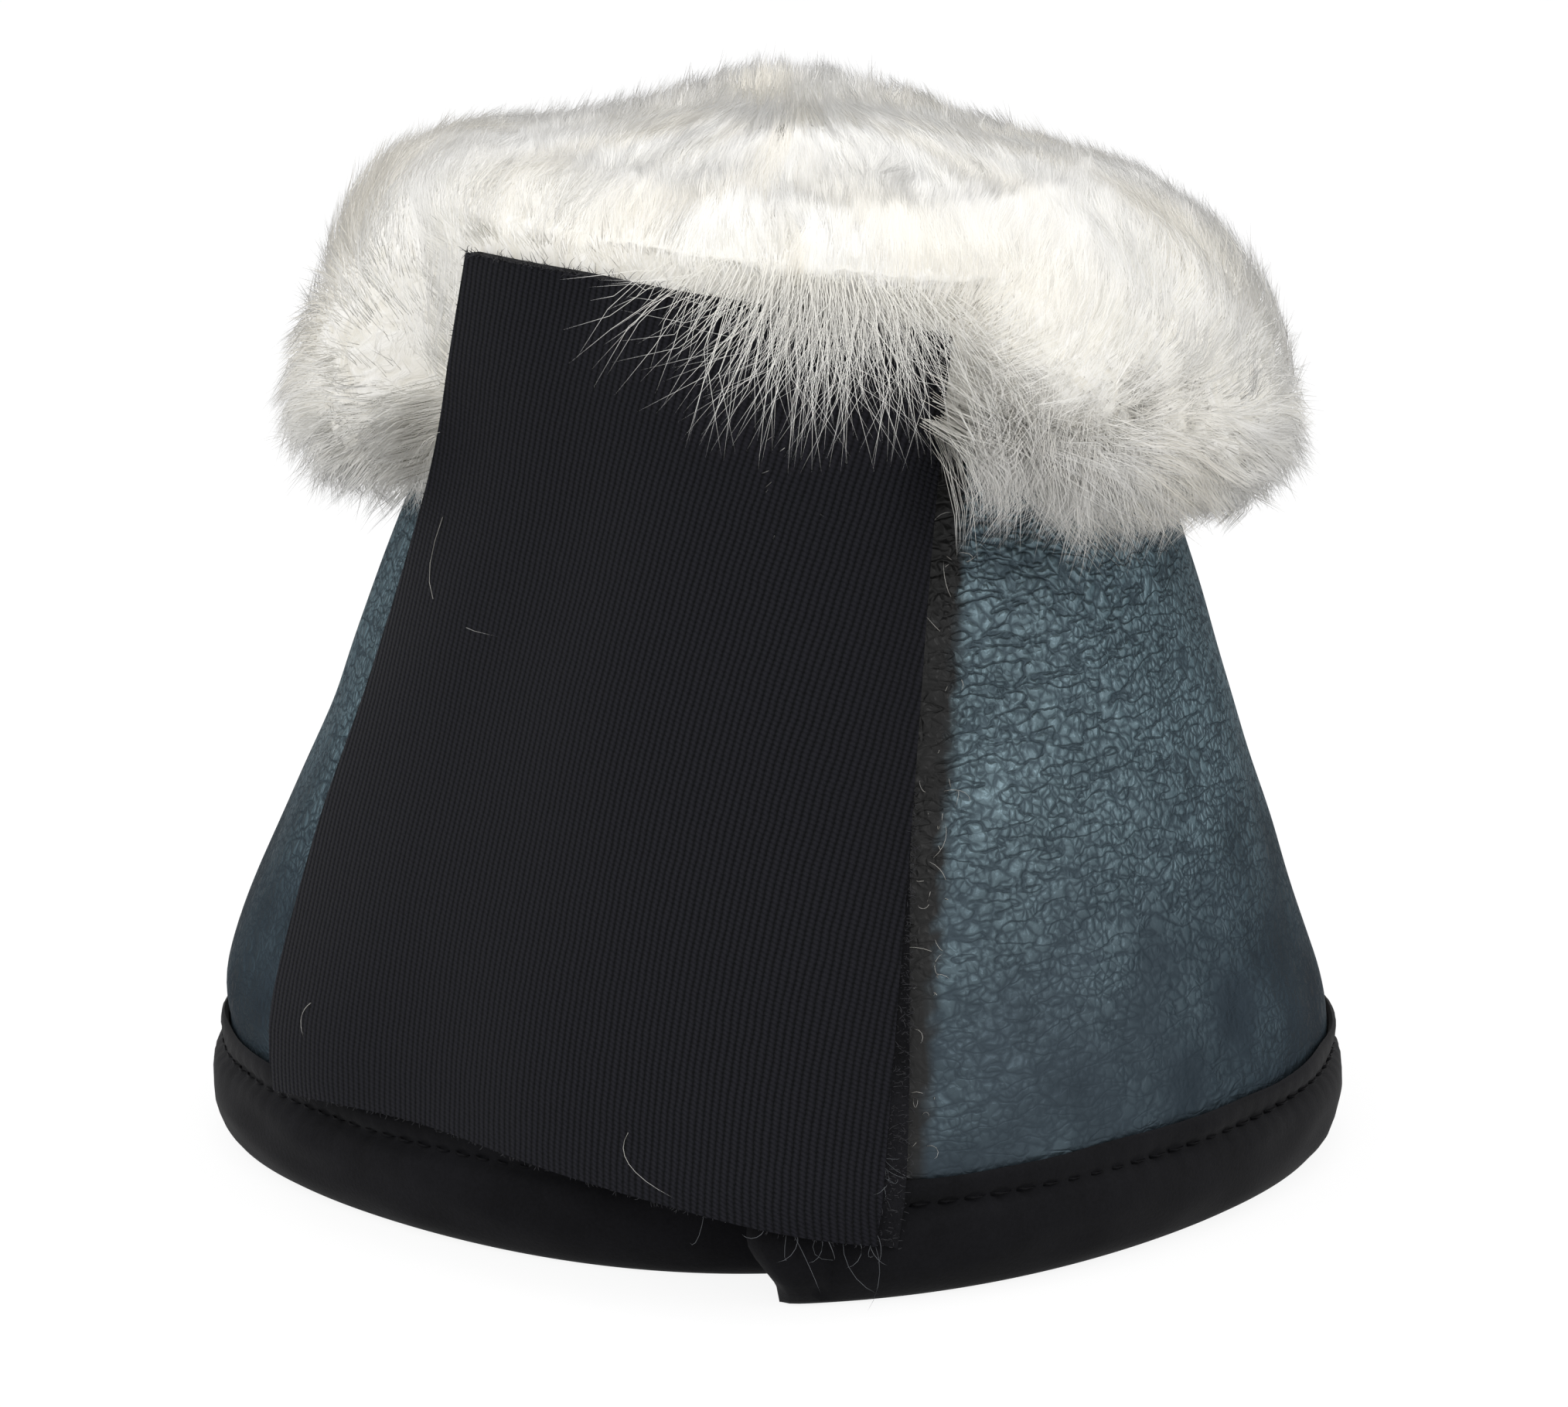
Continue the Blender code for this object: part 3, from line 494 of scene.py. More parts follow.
def ribbed_weave(name, low, high, pitch, stitch):
    """Close twill: rows of slanting threads along the cloth, pitch apart, each a small shiny pillow.

    The colour follows the relief: painted highlight on the threads' crowns, painted shade between them.
    """
    made, add = new_finish(name)
    cloth = add("UVMap", uv_map="cloth")
    parts = add("SeparateXYZ", (cloth,)).node.outputs
    place = add("VectorMath", {0: add("TexCoord", out=3), "Scale": 1 / MM}, operation="SCALE")
    wander = add("TexNoise", {"Vector": place, "Scale": 0.25, "Detail": 2.0})
    u = add("Math", (wander, 0.5 * pitch, parts[0]), operation="MULTIPLY_ADD")
    u = add("Math", (u, pitch), operation="DIVIDE")
    column = add("Math", (u,), operation="FLOOR")
    across = add("Math", (u,), operation="FRACT")
    v = add("Math", (parts[1], stitch), operation="DIVIDE")
    v = add("Math", (column, 0.37, v), operation="MULTIPLY_ADD")
    v = add("Math", (across, 0.6, v), operation="MULTIPLY_ADD")
    beat = add("Math", (v,), operation="FRACT")
    half_turns = [add("Math", (part, pi), operation="MULTIPLY") for part in (across, beat)]
    crown, pillow = [add("Math", (part,), operation="SINE") for part in half_turns]
    height = add("Math", (pillow, 0.45, crown), operation="MULTIPLY_ADD")
    fuzz = add("TexNoise", {"Vector": place, "Scale": 2.2, "Detail": 3.0, "Roughness": 0.7})
    height = add("Math", (fuzz, 0.8, height), operation="MULTIPLY_ADD")
    level = add("Math", (height, 0.55), operation="MULTIPLY")
    # Painted highlight and shade: the tone is lighter on the threads' crowns and darker between them.
    tone = add("ValToRGB", (level,), stops=((0.35, low), (0.95, high)))
    bump = add("Bump", {"Height": height, "Distance": 0.3 * pitch, "Strength": 0.8})
    settings = {"Base Color": tone, "Roughness": 0.62, "Normal": bump, "Specular IOR Level": 0.07}
    return finished(made, settings)


def pile(name, root, middle, tip, cream):
    """Single fibres: one colour at the root, others at the middle and the tip, and some of them creamier.

    The colour darkens towards the root as painted shade, and lightens towards the tip as painted light.
    """
    made, add = new_finish(name)
    along = add("Attribute", out=2, attribute_name="along")
    tint = add("Attribute", out=2, attribute_name="tint")
    # Painted shade and light: each fibre darkens towards its root and lightens towards its tip.
    tone = add("ValToRGB", (along,), stops=((0.0, root), (1.0, tip), (0.5, middle)))
    shade = add("MapRange", (tint, 0.4, 1.0, 0.0, 0.7))
    colour = add("Mix", {0: shade, 6: tone, 7: hexed(cream)}, out=2, data_type="RGBA")
    return finished(made, {"Base Color": colour, "Roughness": 0.5, "Specular IOR Level": 0.35})


def pile_base(name, deep, high):
    """The pile's dense middle: close white fibres that run up and down the collar, with painted shade in the
    furrows, which are darker and creamier.
    """
    made, add = new_finish(name)
    cloth = add("VectorMath", {0: add("UVMap", uv_map="cloth"), "Scale": 1 / MM}, operation="SCALE")
    place = add("VectorMath", {0: add("TexCoord", out=3), "Scale": 1 / MM}, operation="SCALE")
    drift = add("TexNoise", {"Vector": place, "Scale": 0.12, "Detail": 2.0}, out=1)
    drift = add("VectorMath", {0: drift, "Scale": 9.0}, operation="SCALE")
    warped = add("VectorMath", (cloth, drift), operation="ADD")
    fibres = add("Mapping", {"Vector": warped, "Scale": (3.0, 0.22, 1)})
    streak = add("TexNoise", {"Vector": fibres, "Scale": 1.0, "Detail": 3.0, "Roughness": 0.6})
    tufts = add("Mapping", {"Vector": warped, "Scale": (0.45, 0.12, 1)})
    tuft = add("TexNoise", {"Vector": tufts, "Scale": 1.0, "Detail": 2.0})
    height = add("Math", (tuft, 1.5, streak), operation="MULTIPLY_ADD")
    level = add("Math", (height, 0.4), operation="MULTIPLY")
    # Painted shade: the colour is darker and creamier where the relief is low, in the furrows.
    tone = add("ValToRGB", (level,), stops=((0.36, deep), (0.62, high)))
    bump = add("Bump", {"Height": height, "Distance": 0.0005, "Strength": 0.5})
    return finished(made, {"Base Color": tone, "Roughness": 0.7, "Normal": bump, "Specular IOR Level": 0.2})


LEATHER = grained_leather()
FOAM = plain_cloth("closed-cell neoprene foam", "141416", "1c1c1f", 0.6, 0.0001, 0.9)
LINING = plain_cloth("knitted lining, brushed", "1b1b1e", "2b2b2f", 0.8, 0.0002, 0.9, 0.3)
BINDING = plain_cloth("cloth-faced neoprene binding", "0d0d0f", "151518", 0.5, 0.0001, 0.75, 0.04)
TAPE = plain_cloth("woven edge tape", "1c1c1e", "28282b", 0.5, 0.0001, 0.8)
THREAD = plain_cloth("twisted polyester thread", "0d0d0f", "19191b", 0.3, 0.0001, 0.6)
WEAVE = ribbed_weave("close twill, black", "07080a", "1b1b20", 0.9 * MM, 0.55 * MM)
HOOKS = plain_cloth("moulded hook tape backing", "0e0e10", "1c1c1f", 0.4, 0.0002, 0.7)
LOOPS = plain_cloth("brushed loop pile", "131315", "222225", 0.5, 0.0002, 0.9, 0.3)
FUR_BASE = pile_base("acrylic pile, close, cream white", "dedacf", "eeece7")
FUR = pile("acrylic pile, cream white", "e4e1d7", "ebe9e3", "eeedeb", "ece5d5")
LINT = pile("pale lint", "8f8d88", "b9b7b2", "d0cfcc", "a5a39c")
FRAY = pile("black cloth fibre", "17171a", "222226", "3a3a3f", "2c2c30")
THREADS = pile("loose grey thread", "34363a", "55585c", "7d8083", "606266")


# Leather wall

def wall_turns(start, end, step):
    """Evenly spaced turns between two, about step metres apart at the skirt."""
    return np.linspace(start, end, int(np.ceil((end - start) * SKIRT_RADIUS / step)) + 1)


def wall_rows(low, high, step):
    """Evenly spaced heights between two."""
    return np.linspace(low, high, int(np.ceil((high - low) / step)) + 1)


def flap_edge(z):
    """Turn of the flap's right edge at a height."""
    share = np.clip((z - FLAP_FOOT[0]) / (FLAP_HEAD[0] - FLAP_FOOT[0]), 0, 1)
    return through(share, FLAP_RIGHT_TURNS)


def beside_flap(psi, z):
    """How far a point of the right half is from the flap's sewn edge, in metres along the wall."""
    return (psi - flap_edge(z)) * wall_radius(z)


def leather_relief(psi, z):
    """How far the leather stands out: soft swells, a sewn-down valley beside the flap, creases out of it."""
    run = psi * SKIRT_RADIUS
    swell = 0.16 * MM * ripple(run, z, 22 * MM, 3) * smooth((z - HEM_TOP) / (8 * MM))
    off = beside_flap(psi, z)
    right = np.where(psi < pi, 1.0, 0.0)
    valley = -0.9 * MM * np.exp(-(np.maximum(off, 0) / (3.6 * MM)) ** 2)
    fade = np.exp(-np.maximum(off - 2 * MM, 0) / (6 * MM)) * smooth(off / (2 * MM))
    creases = 0.16 * MM * ripple(0.25 * run, z, 3.2 * MM, 5) * fade
    return swell + right * (valley + creases)


def leather_sewn(psi, z):
    """The darker, brownish strip right beside the flap's sewn edge: painted shade where the leather dips, and
    dust.
    """
    off = np.where(psi < pi, beside_flap(psi, z), 1.0) + 0.35 * MM * ripple(psi * SKIRT_RADIUS, z, 3 * MM, 9)
    return smooth((6.2 * MM - off) / (1.6 * MM))


def leather_smooth_and_shaded(psi, z):
    """Stretched-smooth grain, and painted shade: beside the sewn edge, above the hem and on the left half."""
    off = np.where(psi < pi, beside_flap(psi, z), 1.0)
    edge = 0.5 * np.exp(-(np.maximum(off - 1 * MM, 0) / (3.5 * MM)) ** 2)
    hem = 0.9 * smooth((66 * MM - z) / (42 * MM))
    left = 0.45 * smooth((psi - radians(285)) / radians(25))
    patchy = 0.1 * ripple(psi * SKIRT_RADIUS, z, 15 * MM, 8)
    return np.clip(np.maximum(np.maximum(edge, hem), left) + patchy, 0, 1)


def add_wall_layer(name, start, end, outside, thick, step, finish, relief=False):
    """One layer of the wall over a stretch of turns, its outer face outside metres inside the wall's."""
    psi = wall_turns(start, end, step)[:, None]
    rows = wall_rows(HEM_FLOOR + CLEAR, SHELL_TOP, step)[None]
    if end > radians(359):
        low_end = smooth((psi - LEFT_FUR_END + radians(0.6)) / radians(0.8))
        rows = rows + (rows - rows[:, :1]) * (TAB_TOP - SHELL_TOP) / (SHELL_TOP - HEM_FLOOR - CLEAR) * low_end
    w = leather_relief(psi, rows) if relief else 0 * psi * rows
    outer = wall(psi, rows, w - outside)
    inner = wall(psi, rows, w * 0.2 - outside - thick)
    cloth = np.stack(np.broadcast_arrays(psi * SKIRT_RADIUS, rows), -1)
    piece = add_slab(name, outer, inner, cloth, finish)
    if relief:
        # The smooth-grain mask also paints shade into the colour; the sewn-strip mask paints shade and dust.
        smooth_and_shaded = leather_smooth_and_shaded(psi, rows)
        set_value(piece, "smooth_and_shaded", np.concatenate((smooth_and_shaded.ravel(), smooth_and_shaded.ravel())))
        sewn = leather_sewn(psi, rows)
        set_value(piece, "sewn", np.concatenate((sewn.ravel(), sewn.ravel())))
    return piece, cut_size(outer)


STRETCHES = (
    ("right", RIGHT_END, STRIP_START), ("back", STRIP_START, STRIP_END), ("left", STRIP_END, LEFT_END),
)


def carry(piece, place, nodes=()):
    """The piece rides on its half, or across the back keeps its place, baked into its points."""
    if place == "back":
        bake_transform(piece)
    else:
        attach(piece, place + "_shell")
        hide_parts(*(f"{place}_{node_name}" for node_name in nodes))
    return piece


def add_walls():
    """Leather, foam and lining, each a right, a back and a left piece that share their edges."""
    for place, start, end in STRETCHES:
        depth = LEATHER_THICK + CLEAR
        foam, _ = add_wall_layer(place + "_padding", start, end, depth, FOAM_THICK, 4 * MM,
                                 FOAM)
        carry(foam, place, ["foam_core"])
        leather, cut = add_wall_layer(place + "_grained_leather", start, end, 0, LEATHER_THICK, 1.4 * MM,
                                      LEATHER, relief=True)
        carry(leather, place, ["outer_leather"])
        depth = WALL_THICK - LINING_THICK
        lining, cut = add_wall_layer(place + "_knit_lining", start, end, depth, LINING_THICK, 2.5 * MM,
                                     LINING)
        carry(lining, place, ["lining"])


# Hem binding

# (w, z) round the U: its upper lip, the seam's groove, the outer bulge, the foot, the inner face, the inside
HEM_PROFILE = MM * np.array((
    (0.3, 15.2), (0.7, 15.75), (1.1, 15.5), (1.2, 14.8), (1.15, 13.9), (0.9, 13.2), (0.62, 12.7),
    (0.62, 12.25), (0.95, 11.7), (1.5, 11.2), (1.95, 10.4), (2.2, 9.2), (2.3, 7.8), (2.25, 6.3), (2.0, 4.7),
    (1.55, 3.2), (0.9, 1.9), (0.05, 0.9), (-1.0, 0.25), (-2.4, 0.0), (-4.2, 0.0), (-5.9, 0.2), (-7.4, 0.9),
    (-8.5, 2.2), (-8.95, 4.0), (-9.0, 6.5), (-8.9, 9.0), (-8.6, 11.5), (-8.2, 13.5), (-7.9, 15.2),
    (-7.6, 15.6), (-7.3, 15.3), (-7.3, 9.0), (-7.3, 3.0), (-3.5, 3.0), (0.3, 3.0), (0.3, 9.0),
))
STITCH_PITCH = 3.3 * MM
GROOVE_Z = 12.45 * MM


def add_hems():
    """The binding: one U-shaped profile carried round the wall's foot, gathered a little at each stitch.

    The right half's end, on top of the lap, is cut on a slant, rounded off and creased once.
    """
    for place, start, end in STRETCHES:
        psi = wall_turns(start, end, 1.1 * MM)[:, None]
        w, z = HEM_PROFILE[None, :, 0], HEM_PROFILE[None, :, 1]
        run = psi * SKIRT_RADIUS
        near = np.exp(-((z - GROOVE_Z) / (2.2 * MM)) ** 2) * (w > 0)
        gather = 0.13 * MM * np.cos(TURN * run / STITCH_PITCH) * near
        slack = 0.18 * MM * ripple(run, 3 * z, 17 * MM, 11) * (w > 0.4 * MM)
        lift = 0.25 * MM * ripple(run, 0 * z, 26 * MM, 12) * smooth((z - 10 * MM) / (4 * MM)) * (w > 0.4 * MM)
        end_turn = 0
        if place == "right":
            slant = radians(-3.2) * smooth((z - 1 * MM) / (8 * MM)) * (w > -3 * MM)
            end_turn = slant * smooth((start + radians(4) - psi) / radians(4))
            crease = np.exp(-((run - start * SKIRT_RADIUS - 4.2 * MM - 0.25 * z) / (0.7 * MM)) ** 2)
            slack = slack - 0.8 * MM * crease * (w > 0.4 * MM)
            rounding = 3 * MM / SKIRT_RADIUS
            close = np.sqrt(np.clip(1 - ((start + rounding - psi) / rounding).clip(0) ** 2, 0, 1))
            w = np.where(w > -3 * MM, -3 * MM + (w + 3 * MM) * (0.45 + 0.55 * close), w)
        rings = wall(psi + end_turn, z + lift, w + gather + slack)
        piece = add_tube(place + "_bound_hem", rings, BINDING)
        carry(piece, place, ["hem_binding"])
        add_stitches(place, start, end)


def add_stitches(place, start, end):
    """The hem's seam: separate short stitches that dip into the groove at both ends."""
    inset = radians(1.5)
    count = int((end - start - 2 * inset) * SKIRT_RADIUS / STITCH_PITCH)
    middle = np.linspace(start + inset, end - inset, count)[:, None]
    reach = np.linspace(-0.5, 0.5, 4)[None]
    psi = middle + reach * 0.85 * STITCH_PITCH / SKIRT_RADIUS
    w = 1.0 * MM - 0.5 * MM * (2 * reach) ** 4
    paths = wall(psi, GROOVE_Z + 0 * psi, w + 0 * psi)
    stitches = add_hairs(place + "_hem_seam", paths, 0.28 * MM, np.zeros(count), THREAD)
    carry(stitches, place, ["hem_thread"])


# Pile collar

# Turns a of the pile's section: where its dense middle ends low down, and where the inside begins
CORE_LOW = radians(-68)
FUR_BROW = radians(80)
PILE_PART = radians(1.5)
PILE_RUN = 60 * MM
PILE_DEPTH = 4.0 * MM
HOLE_RIM = 17 * MM
HOLE_TIPS = 11 * MM


def pile_place(psi, a):
    """The flat place of a point of the pile: round the collar and round its section, in metres."""
    return psi * PILE_RUN, a * FUR_OUT


def core_inset(psi, a):
    """How deep the pile's dense middle lies under the collar's solid: PILE_DEPTH under the hairs' ends.

    It lies up to 6 mm deeper where the pile is ragged, and 2 mm deeper at the foot.
    """
    low = np.minimum(a, pi - a)
    foot = smooth((radians(-25) - low) / radians(35))
    return PILE_DEPTH + 6 * MM * ragged(psi, a) + 2 * MM * foot - fur_stand(psi, a)


def ragged(psi, a):
    """Where the pile hangs in loose tufts: low down, just right of the flap."""
    beside = np.exp(-((wrapped(psi) - radians(31)) / radians(15)) ** 2)
    return smooth((radians(12) - a) / radians(30)) * beside


def pile_body(psi, a, inset):
    """Points inset metres inside the surface of the pile's dense middle, with its soft lumps.

    Past the brow it runs nearly level to a rim round the hole, and from the rim back down to the inner side.
    """
    run, rise = pile_place(psi, a)
    lumps = MM * (0.7 * ripple(run, rise, 11 * MM, 21) + 0.3 * ripple(run, rise, 4.5 * MM, 22))
    skin = fur_skin(psi, a, core_inset(psi, a) + lumps + inset)
    outside = np.minimum(a, FUR_BROW)
    outer = fur_skin(psi, outside, core_inset(psi, outside) + lumps + inset)
    rim = at(psi, HOLE_RIM + inset, FUR_CENTRE_Z + FUR_UP - lumps - inset)
    level = outer + smooth((a - FUR_BROW) / radians(70))[..., None] * (rim - outer)
    inward = smooth((a - FUR_BROW) / radians(20)) * smooth((radians(205) - a) / radians(50))
    return skin + inward[..., None] * (level - skin)


def fur_crest(phi):
    """The height up to which the flap presses the fur in: just over the flap's top edge."""
    return np.minimum(flap_head(phi) + OVERHANG_GAP, FUR_CENTRE_Z + 0.85 * FUR_UP)


def flap_head(phi):
    """Height of the flap's top edge at a turn."""
    across = np.clip((FLAP_RIGHT_TURNS[2] - phi) / (FLAP_RIGHT_TURNS[2] - FLAP_LEFT_TURNS[2]), 0, 1)
    return through(across, FLAP_HEAD)


def wrapped(psi):
    """The same turn between -180 and 180 degrees."""
    return (psi + pi) % TURN - pi


def pressed(psi, z, w):
    """Under the flap, w is held back; above the flap's crest, the pile swells out again over its edge."""
    phi = wrapped(psi)
    height = tilted(psi, z)
    under = np.minimum(height, fur_crest(phi))
    limit = flap_radius(phi, under) - FLAP_THICK - SLIDE_GAP - wall_face(psi, under)
    above = height - under
    upright = 3 * MM
    limit = limit + 0.2 * np.minimum(above, upright) + 1.6 * np.maximum(above - upright, 0)
    right = smooth((FLAP_RIGHT_TURNS[2] + PRESS_MARGIN + PRESS_FADE - phi) / PRESS_FADE)
    left = smooth((phi - FLAP_LEFT_TURNS[1] + PRESS_FADE) / PRESS_FADE)
    return w - np.maximum(w - limit, 0) * right * left


def fur_section(psi, a, inset):
    """(w, z) on the fur's squarish oval, inset metres inside its outline; a turns from outside over the top.

    Beside the flap's sewn edge the pile starts higher up.
    """
    rise, out = np.sin(a), np.cos(a)
    power = 2 / FUR_SQUARE
    phi = wrapped(psi)
    lift = 10 * smooth((radians(44) - phi) / radians(20)) + 2.5 * smooth((radians(95) - phi) / radians(30))
    lift = lift * MM * smooth(phi / radians(10))
    reach_z = np.where(rise > 0, FUR_UP, FUR_DOWN - lift) - inset
    reach_w = np.where(out > 0, FUR_OUT, FUR_IN) - inset
    w = -WALL_THICK / 2 + reach_w * np.sign(out) * np.abs(out) ** power
    return w, FUR_CENTRE_Z + reach_z * np.sign(rise) * np.abs(rise) ** power


def fur_skin(psi, a, inset):
    """Points on the pressed fur, inset metres inside its outline, kept off the wall's faces.

    Above the wall the two halves' pile closes up at the front, so the spiral's step fades out there.
    """
    free, z = fur_section(psi, a, inset)
    least = CLEAR + 0.4 * MM
    kept = np.where(np.cos(a) > 0, np.maximum(free, least), np.minimum(free, -WALL_THICK - least))
    w = kept + (free - kept) * smooth((np.sin(a) - 0.5) / 0.3)
    above = smooth((np.sin(a) - 0.1) / 0.5) * smooth((radians(50) - np.abs(wrapped(psi))) / radians(48))
    w = w - winding(psi, SHELL_TOP) * above
    return wall(psi, z, pressed(psi, z, w))


def add_fur_cores():
    """The pile's dense middle, closed round the wall's top and shaded nearly as a plain roll."""
    ends = (("right", PILE_PART, STRIP_START), STRETCHES[1], ("left", STRIP_END, PILE_PART + TURN))
    for place, start, end in ends:
        psi = wall_turns(start, end, 1.3 * MM)[:, None]
        a = np.linspace(CORE_LOW, pi - CORE_LOW, 110)[None]
        run, rise = pile_place(psi, a)
        over = pile_body(psi, a, 0)
        under = np.linspace(0, 1, 7)[1:-1][None]
        foot_w = CLEAR + (-WALL_THICK - 2 * CLEAR) * under[:, ::-1] + 0 * psi
        _, foot_z = fur_section(psi, CORE_LOW + 0 * foot_w, core_inset(psi, CORE_LOW))
        rings = np.concatenate((over, wall(psi, foot_z - 0.5 * MM, foot_w)), 1)
        core = add_tube(place + "_pile_base", rings, FUR_BASE)
        rounds = np.concatenate((rise[0], rise[0, -1] + MM * np.arange(1, 6)))
        map_tube(core, run[:, 0], rounds)
        own = np.empty(3 * len(core.data.vertices), np.float32)
        core.data.vertex_normals.foreach_get("vector", own)
        own = own.reshape(-1, 3)
        turns = np.concatenate((a, CORE_LOW + 0 * under), 1) + 0 * psi
        shade = fur_shade(psi, turns).reshape(-1, 3)
        share = 0.8 + 2.0 * smooth((turns.reshape(-1, 1) - radians(80)) / radians(30))
        soft = np.concatenate((unit(share * shade + own[:-2]), own[-2:]))
        core.data.normals_split_custom_set_from_vertices(soft)
        carry(core, place, ["collar_fur", "collar_pad"])


def unit(v):
    """The same directions with length 1."""
    return v / (np.linalg.norm(v, axis=-1, keepdims=True) + 1e-12)


def body_normal(psi, a):
    """Outward directions of the pile's dense middle, from small steps along it."""
    step = 4e-3
    up = pile_body(psi, a + step, 0) - pile_body(psi, a - step, 0)
    side = pile_body(psi + step, a, 0) - pile_body(psi - step, a, 0)
    return unit(np.cross(side, up))


def fur_stand(psi, a):
    """How far the hairs' ends stand out of the collar's solid: most at the back's crown, least at the foot.

    crown is the top, shoulder the left side's upper part, side the rest of the outside.
    """
    phi = wrapped(psi)
    back = (pi - np.abs(phi)) / np.where(phi > 0, radians(34), radians(26))
    crown = 1.6 * np.sin(phi) - 0.2 + 7.6 * np.exp(-back ** 2)
    top = smooth((np.sin(a) - 0.45) / 0.4)
    left = np.maximum(-np.sin(phi), 0)
    shoulder = 5.5 * left * np.exp(-((a - radians(50)) / radians(20)) ** 2)
    side = 2.2 + 1.2 * left
    outside = side + (crown - side) * top + shoulder
    return MM * outside * smooth((a + radians(70) + radians(18) * left) / (radians(45) - radians(15) * left))


def fur_shade(psi, a):
    """Directions in which the pile is lit: out and then up, as on a plain roll without single tufts."""
    psi, a = np.broadcast_arrays(psi, a)
    up = np.array((0, 0, 1.0))
    turn = np.clip(a, radians(-40), pi / 2)[..., None]
    out = np.stack((np.sin(psi), -np.cos(psi), 0 * psi), -1)
    return unit(np.cos(turn) * out + np.sin(turn) * up)


def fur_tips(psi, a):
    """Where hairs end, and the way they are shaded: on the skin outside, closing in on the hole inside."""
    outside = np.minimum(a, FUR_BROW)
    outer = fur_skin(psi, outside, -fur_stand(psi, outside))
    share = smooth((a - FUR_BROW) / radians(75))[:, None]
    deep = smooth((a - radians(150)) / radians(70))
    middle = at(psi, HOLE_TIPS + 7 * MM * deep, FUR_CENTRE_Z + (29 - 44 * deep) * MM)
    return outer + share * (middle - outer), fur_shade(psi, a)


def on_flap(points, margin):
    """Which points are in front of or behind the flap, and its radius there."""
    x, y, z = points[..., 0] - RING_X - lean(points[..., 2]), points[..., 1] - RING_Y, points[..., 2]
    phi = np.arctan2(x, -y)
    share = np.clip((z - FLAP_FOOT[0]) / (FLAP_HEAD[0] - FLAP_FOOT[0]), 0, 1)
    inside = phi < through(share, FLAP_RIGHT_TURNS) + margin
    inside &= phi > through(share, FLAP_LEFT_TURNS) - margin
    inside &= z < flap_head(phi) + margin * NECK_RADIUS
    return inside, flap_radius(phi, np.minimum(z, flap_head(phi))), np.hypot(x, y), x, y


def clear_of_flap(points, gap):
    """Points that would lie in or under the flap are moved out to just above it."""
    inside, face, radius, x, y = on_flap(points, radians(1))
    push = np.where(inside, np.maximum(face + gap - radius, 0) / np.maximum(radius, MM), 0)
    return points + np.stack((x * push, y * push, 0 * push), -1)


def gather(tip, tuft, share):
    """The tips of each tuft are drawn towards their middle."""
    _, tuft = np.unique(tuft, return_inverse=True)
    size = np.bincount(tuft)
    middle = np.stack([np.bincount(tuft, tip[:, k]) / size for k in range(3)], -1)
    return tip + (middle[tuft] - tip) * share[:, None]


def curve(points, shares):
    """Points at shares of a smooth arc from the first point to the last, drawn towards those between."""
    rings = []
    for t in shares:
        left = points
        while len(left) > 1:
            left = [a + t * (b - a) for a, b in zip(left[:-1], left[1:])]
        rings.append(left[0])
    return np.stack(rings, 1)


def hair_paths(psi, a, draw):
    """Pile hairs from the dense middle out to the fur's skin.

    They are combed away from the flap, up above a low parting and down below it, and drawn together in tufts.
    Three in ten stand nearly upright and longer. The direction in which each tuft is shaded differs a little.
    """
    phi = wrapped(psi)
    run, rise = pile_place(psi, a)
    parting = radians(-10) + radians(8) * ripple(run, 0 * run, 40 * MM, 31)
    lift = np.tanh((a - parting) / radians(20)) * (1 - smooth((a - radians(50)) / radians(45)))
    past = np.where(phi > 0, np.maximum(phi - radians(21), 0), np.minimum(phi + radians(50), 0))
    sweep = np.tanh(past / radians(9)) * np.sqrt(np.maximum(np.cos(phi), 0))
    wild = 1 + 1.5 * np.exp(-((phi - radians(27)) / radians(8)) ** 2) * (np.abs(a) < 1)
    low = smooth((radians(15) - a) / radians(30))
    along = 7.0 * MM * (lift + 0.3 * ripple(run, rise, 20 * MM, 32))
    aside = 5.5 * MM * (sweep + 0.4 * ripple(run, rise, 20 * MM, 33))
    cell = 1.9 * MM
    column = np.floor((run + 1.0 * MM * ripple(run, rise, 6 * MM, 34)) / cell).astype(int)
    line = np.floor((rise + 1.0 * MM * ripple(run, rise, 6 * MM, 35)) / cell).astype(int)
    tuft = column * 4096 + line
    _, place = np.unique(tuft, return_inverse=True)
    tufts = place.max() + 1
    lay = draw.normal(0, 1.0, (tufts, 2))[place] * (0.7 + 1.6 * low)[:, None]
    stray = draw.normal(0, 0.9, (len(psi), 2)) * wild[:, None]
    upright = draw.uniform(0, 1, len(psi)) < 0.3
    along = (along + MM * (lay[:, 0] + stray[:, 0])) * np.where(upright, 0.4, 1)
    aside = (aside + MM * (lay[:, 1] + stray[:, 1])) * np.where(upright, 0.4, 1)
    root = pile_body(psi, a, 0.8 * MM)
    out = body_normal(psi, a)
    tip_psi, tip_a = psi + aside / (60 * MM), a + along / FUR_OUT
    tip, lie = fur_tips(tip_psi, tip_a)
    tip = gather(tip, tuft, draw.uniform(0.3, 1.0, len(psi)) * (0.4 + 0.2 * low))
    reach = np.where(upright, draw.uniform(0.9, 1.3, len(psi)), 1 - 0.16 * draw.uniform(0, 1, len(psi)) ** 2)
    reach = reach + draw.normal(0, 0.11, tufts)[place]
    tip = root + (tip - root) * reach[:, None]
    length = np.linalg.norm(tip - root, axis=-1, keepdims=True)
    paths = curve((root, root + 0.42 * length * out, tip), (0.0, 0.52, 1.0))
    sway = 0.17 * draw.normal(0, 1, (tufts, 3))[place] + 0.1 * draw.normal(0, 1, (len(psi), 3))
    return paths, unit(lie + 0.4 * out + sway)


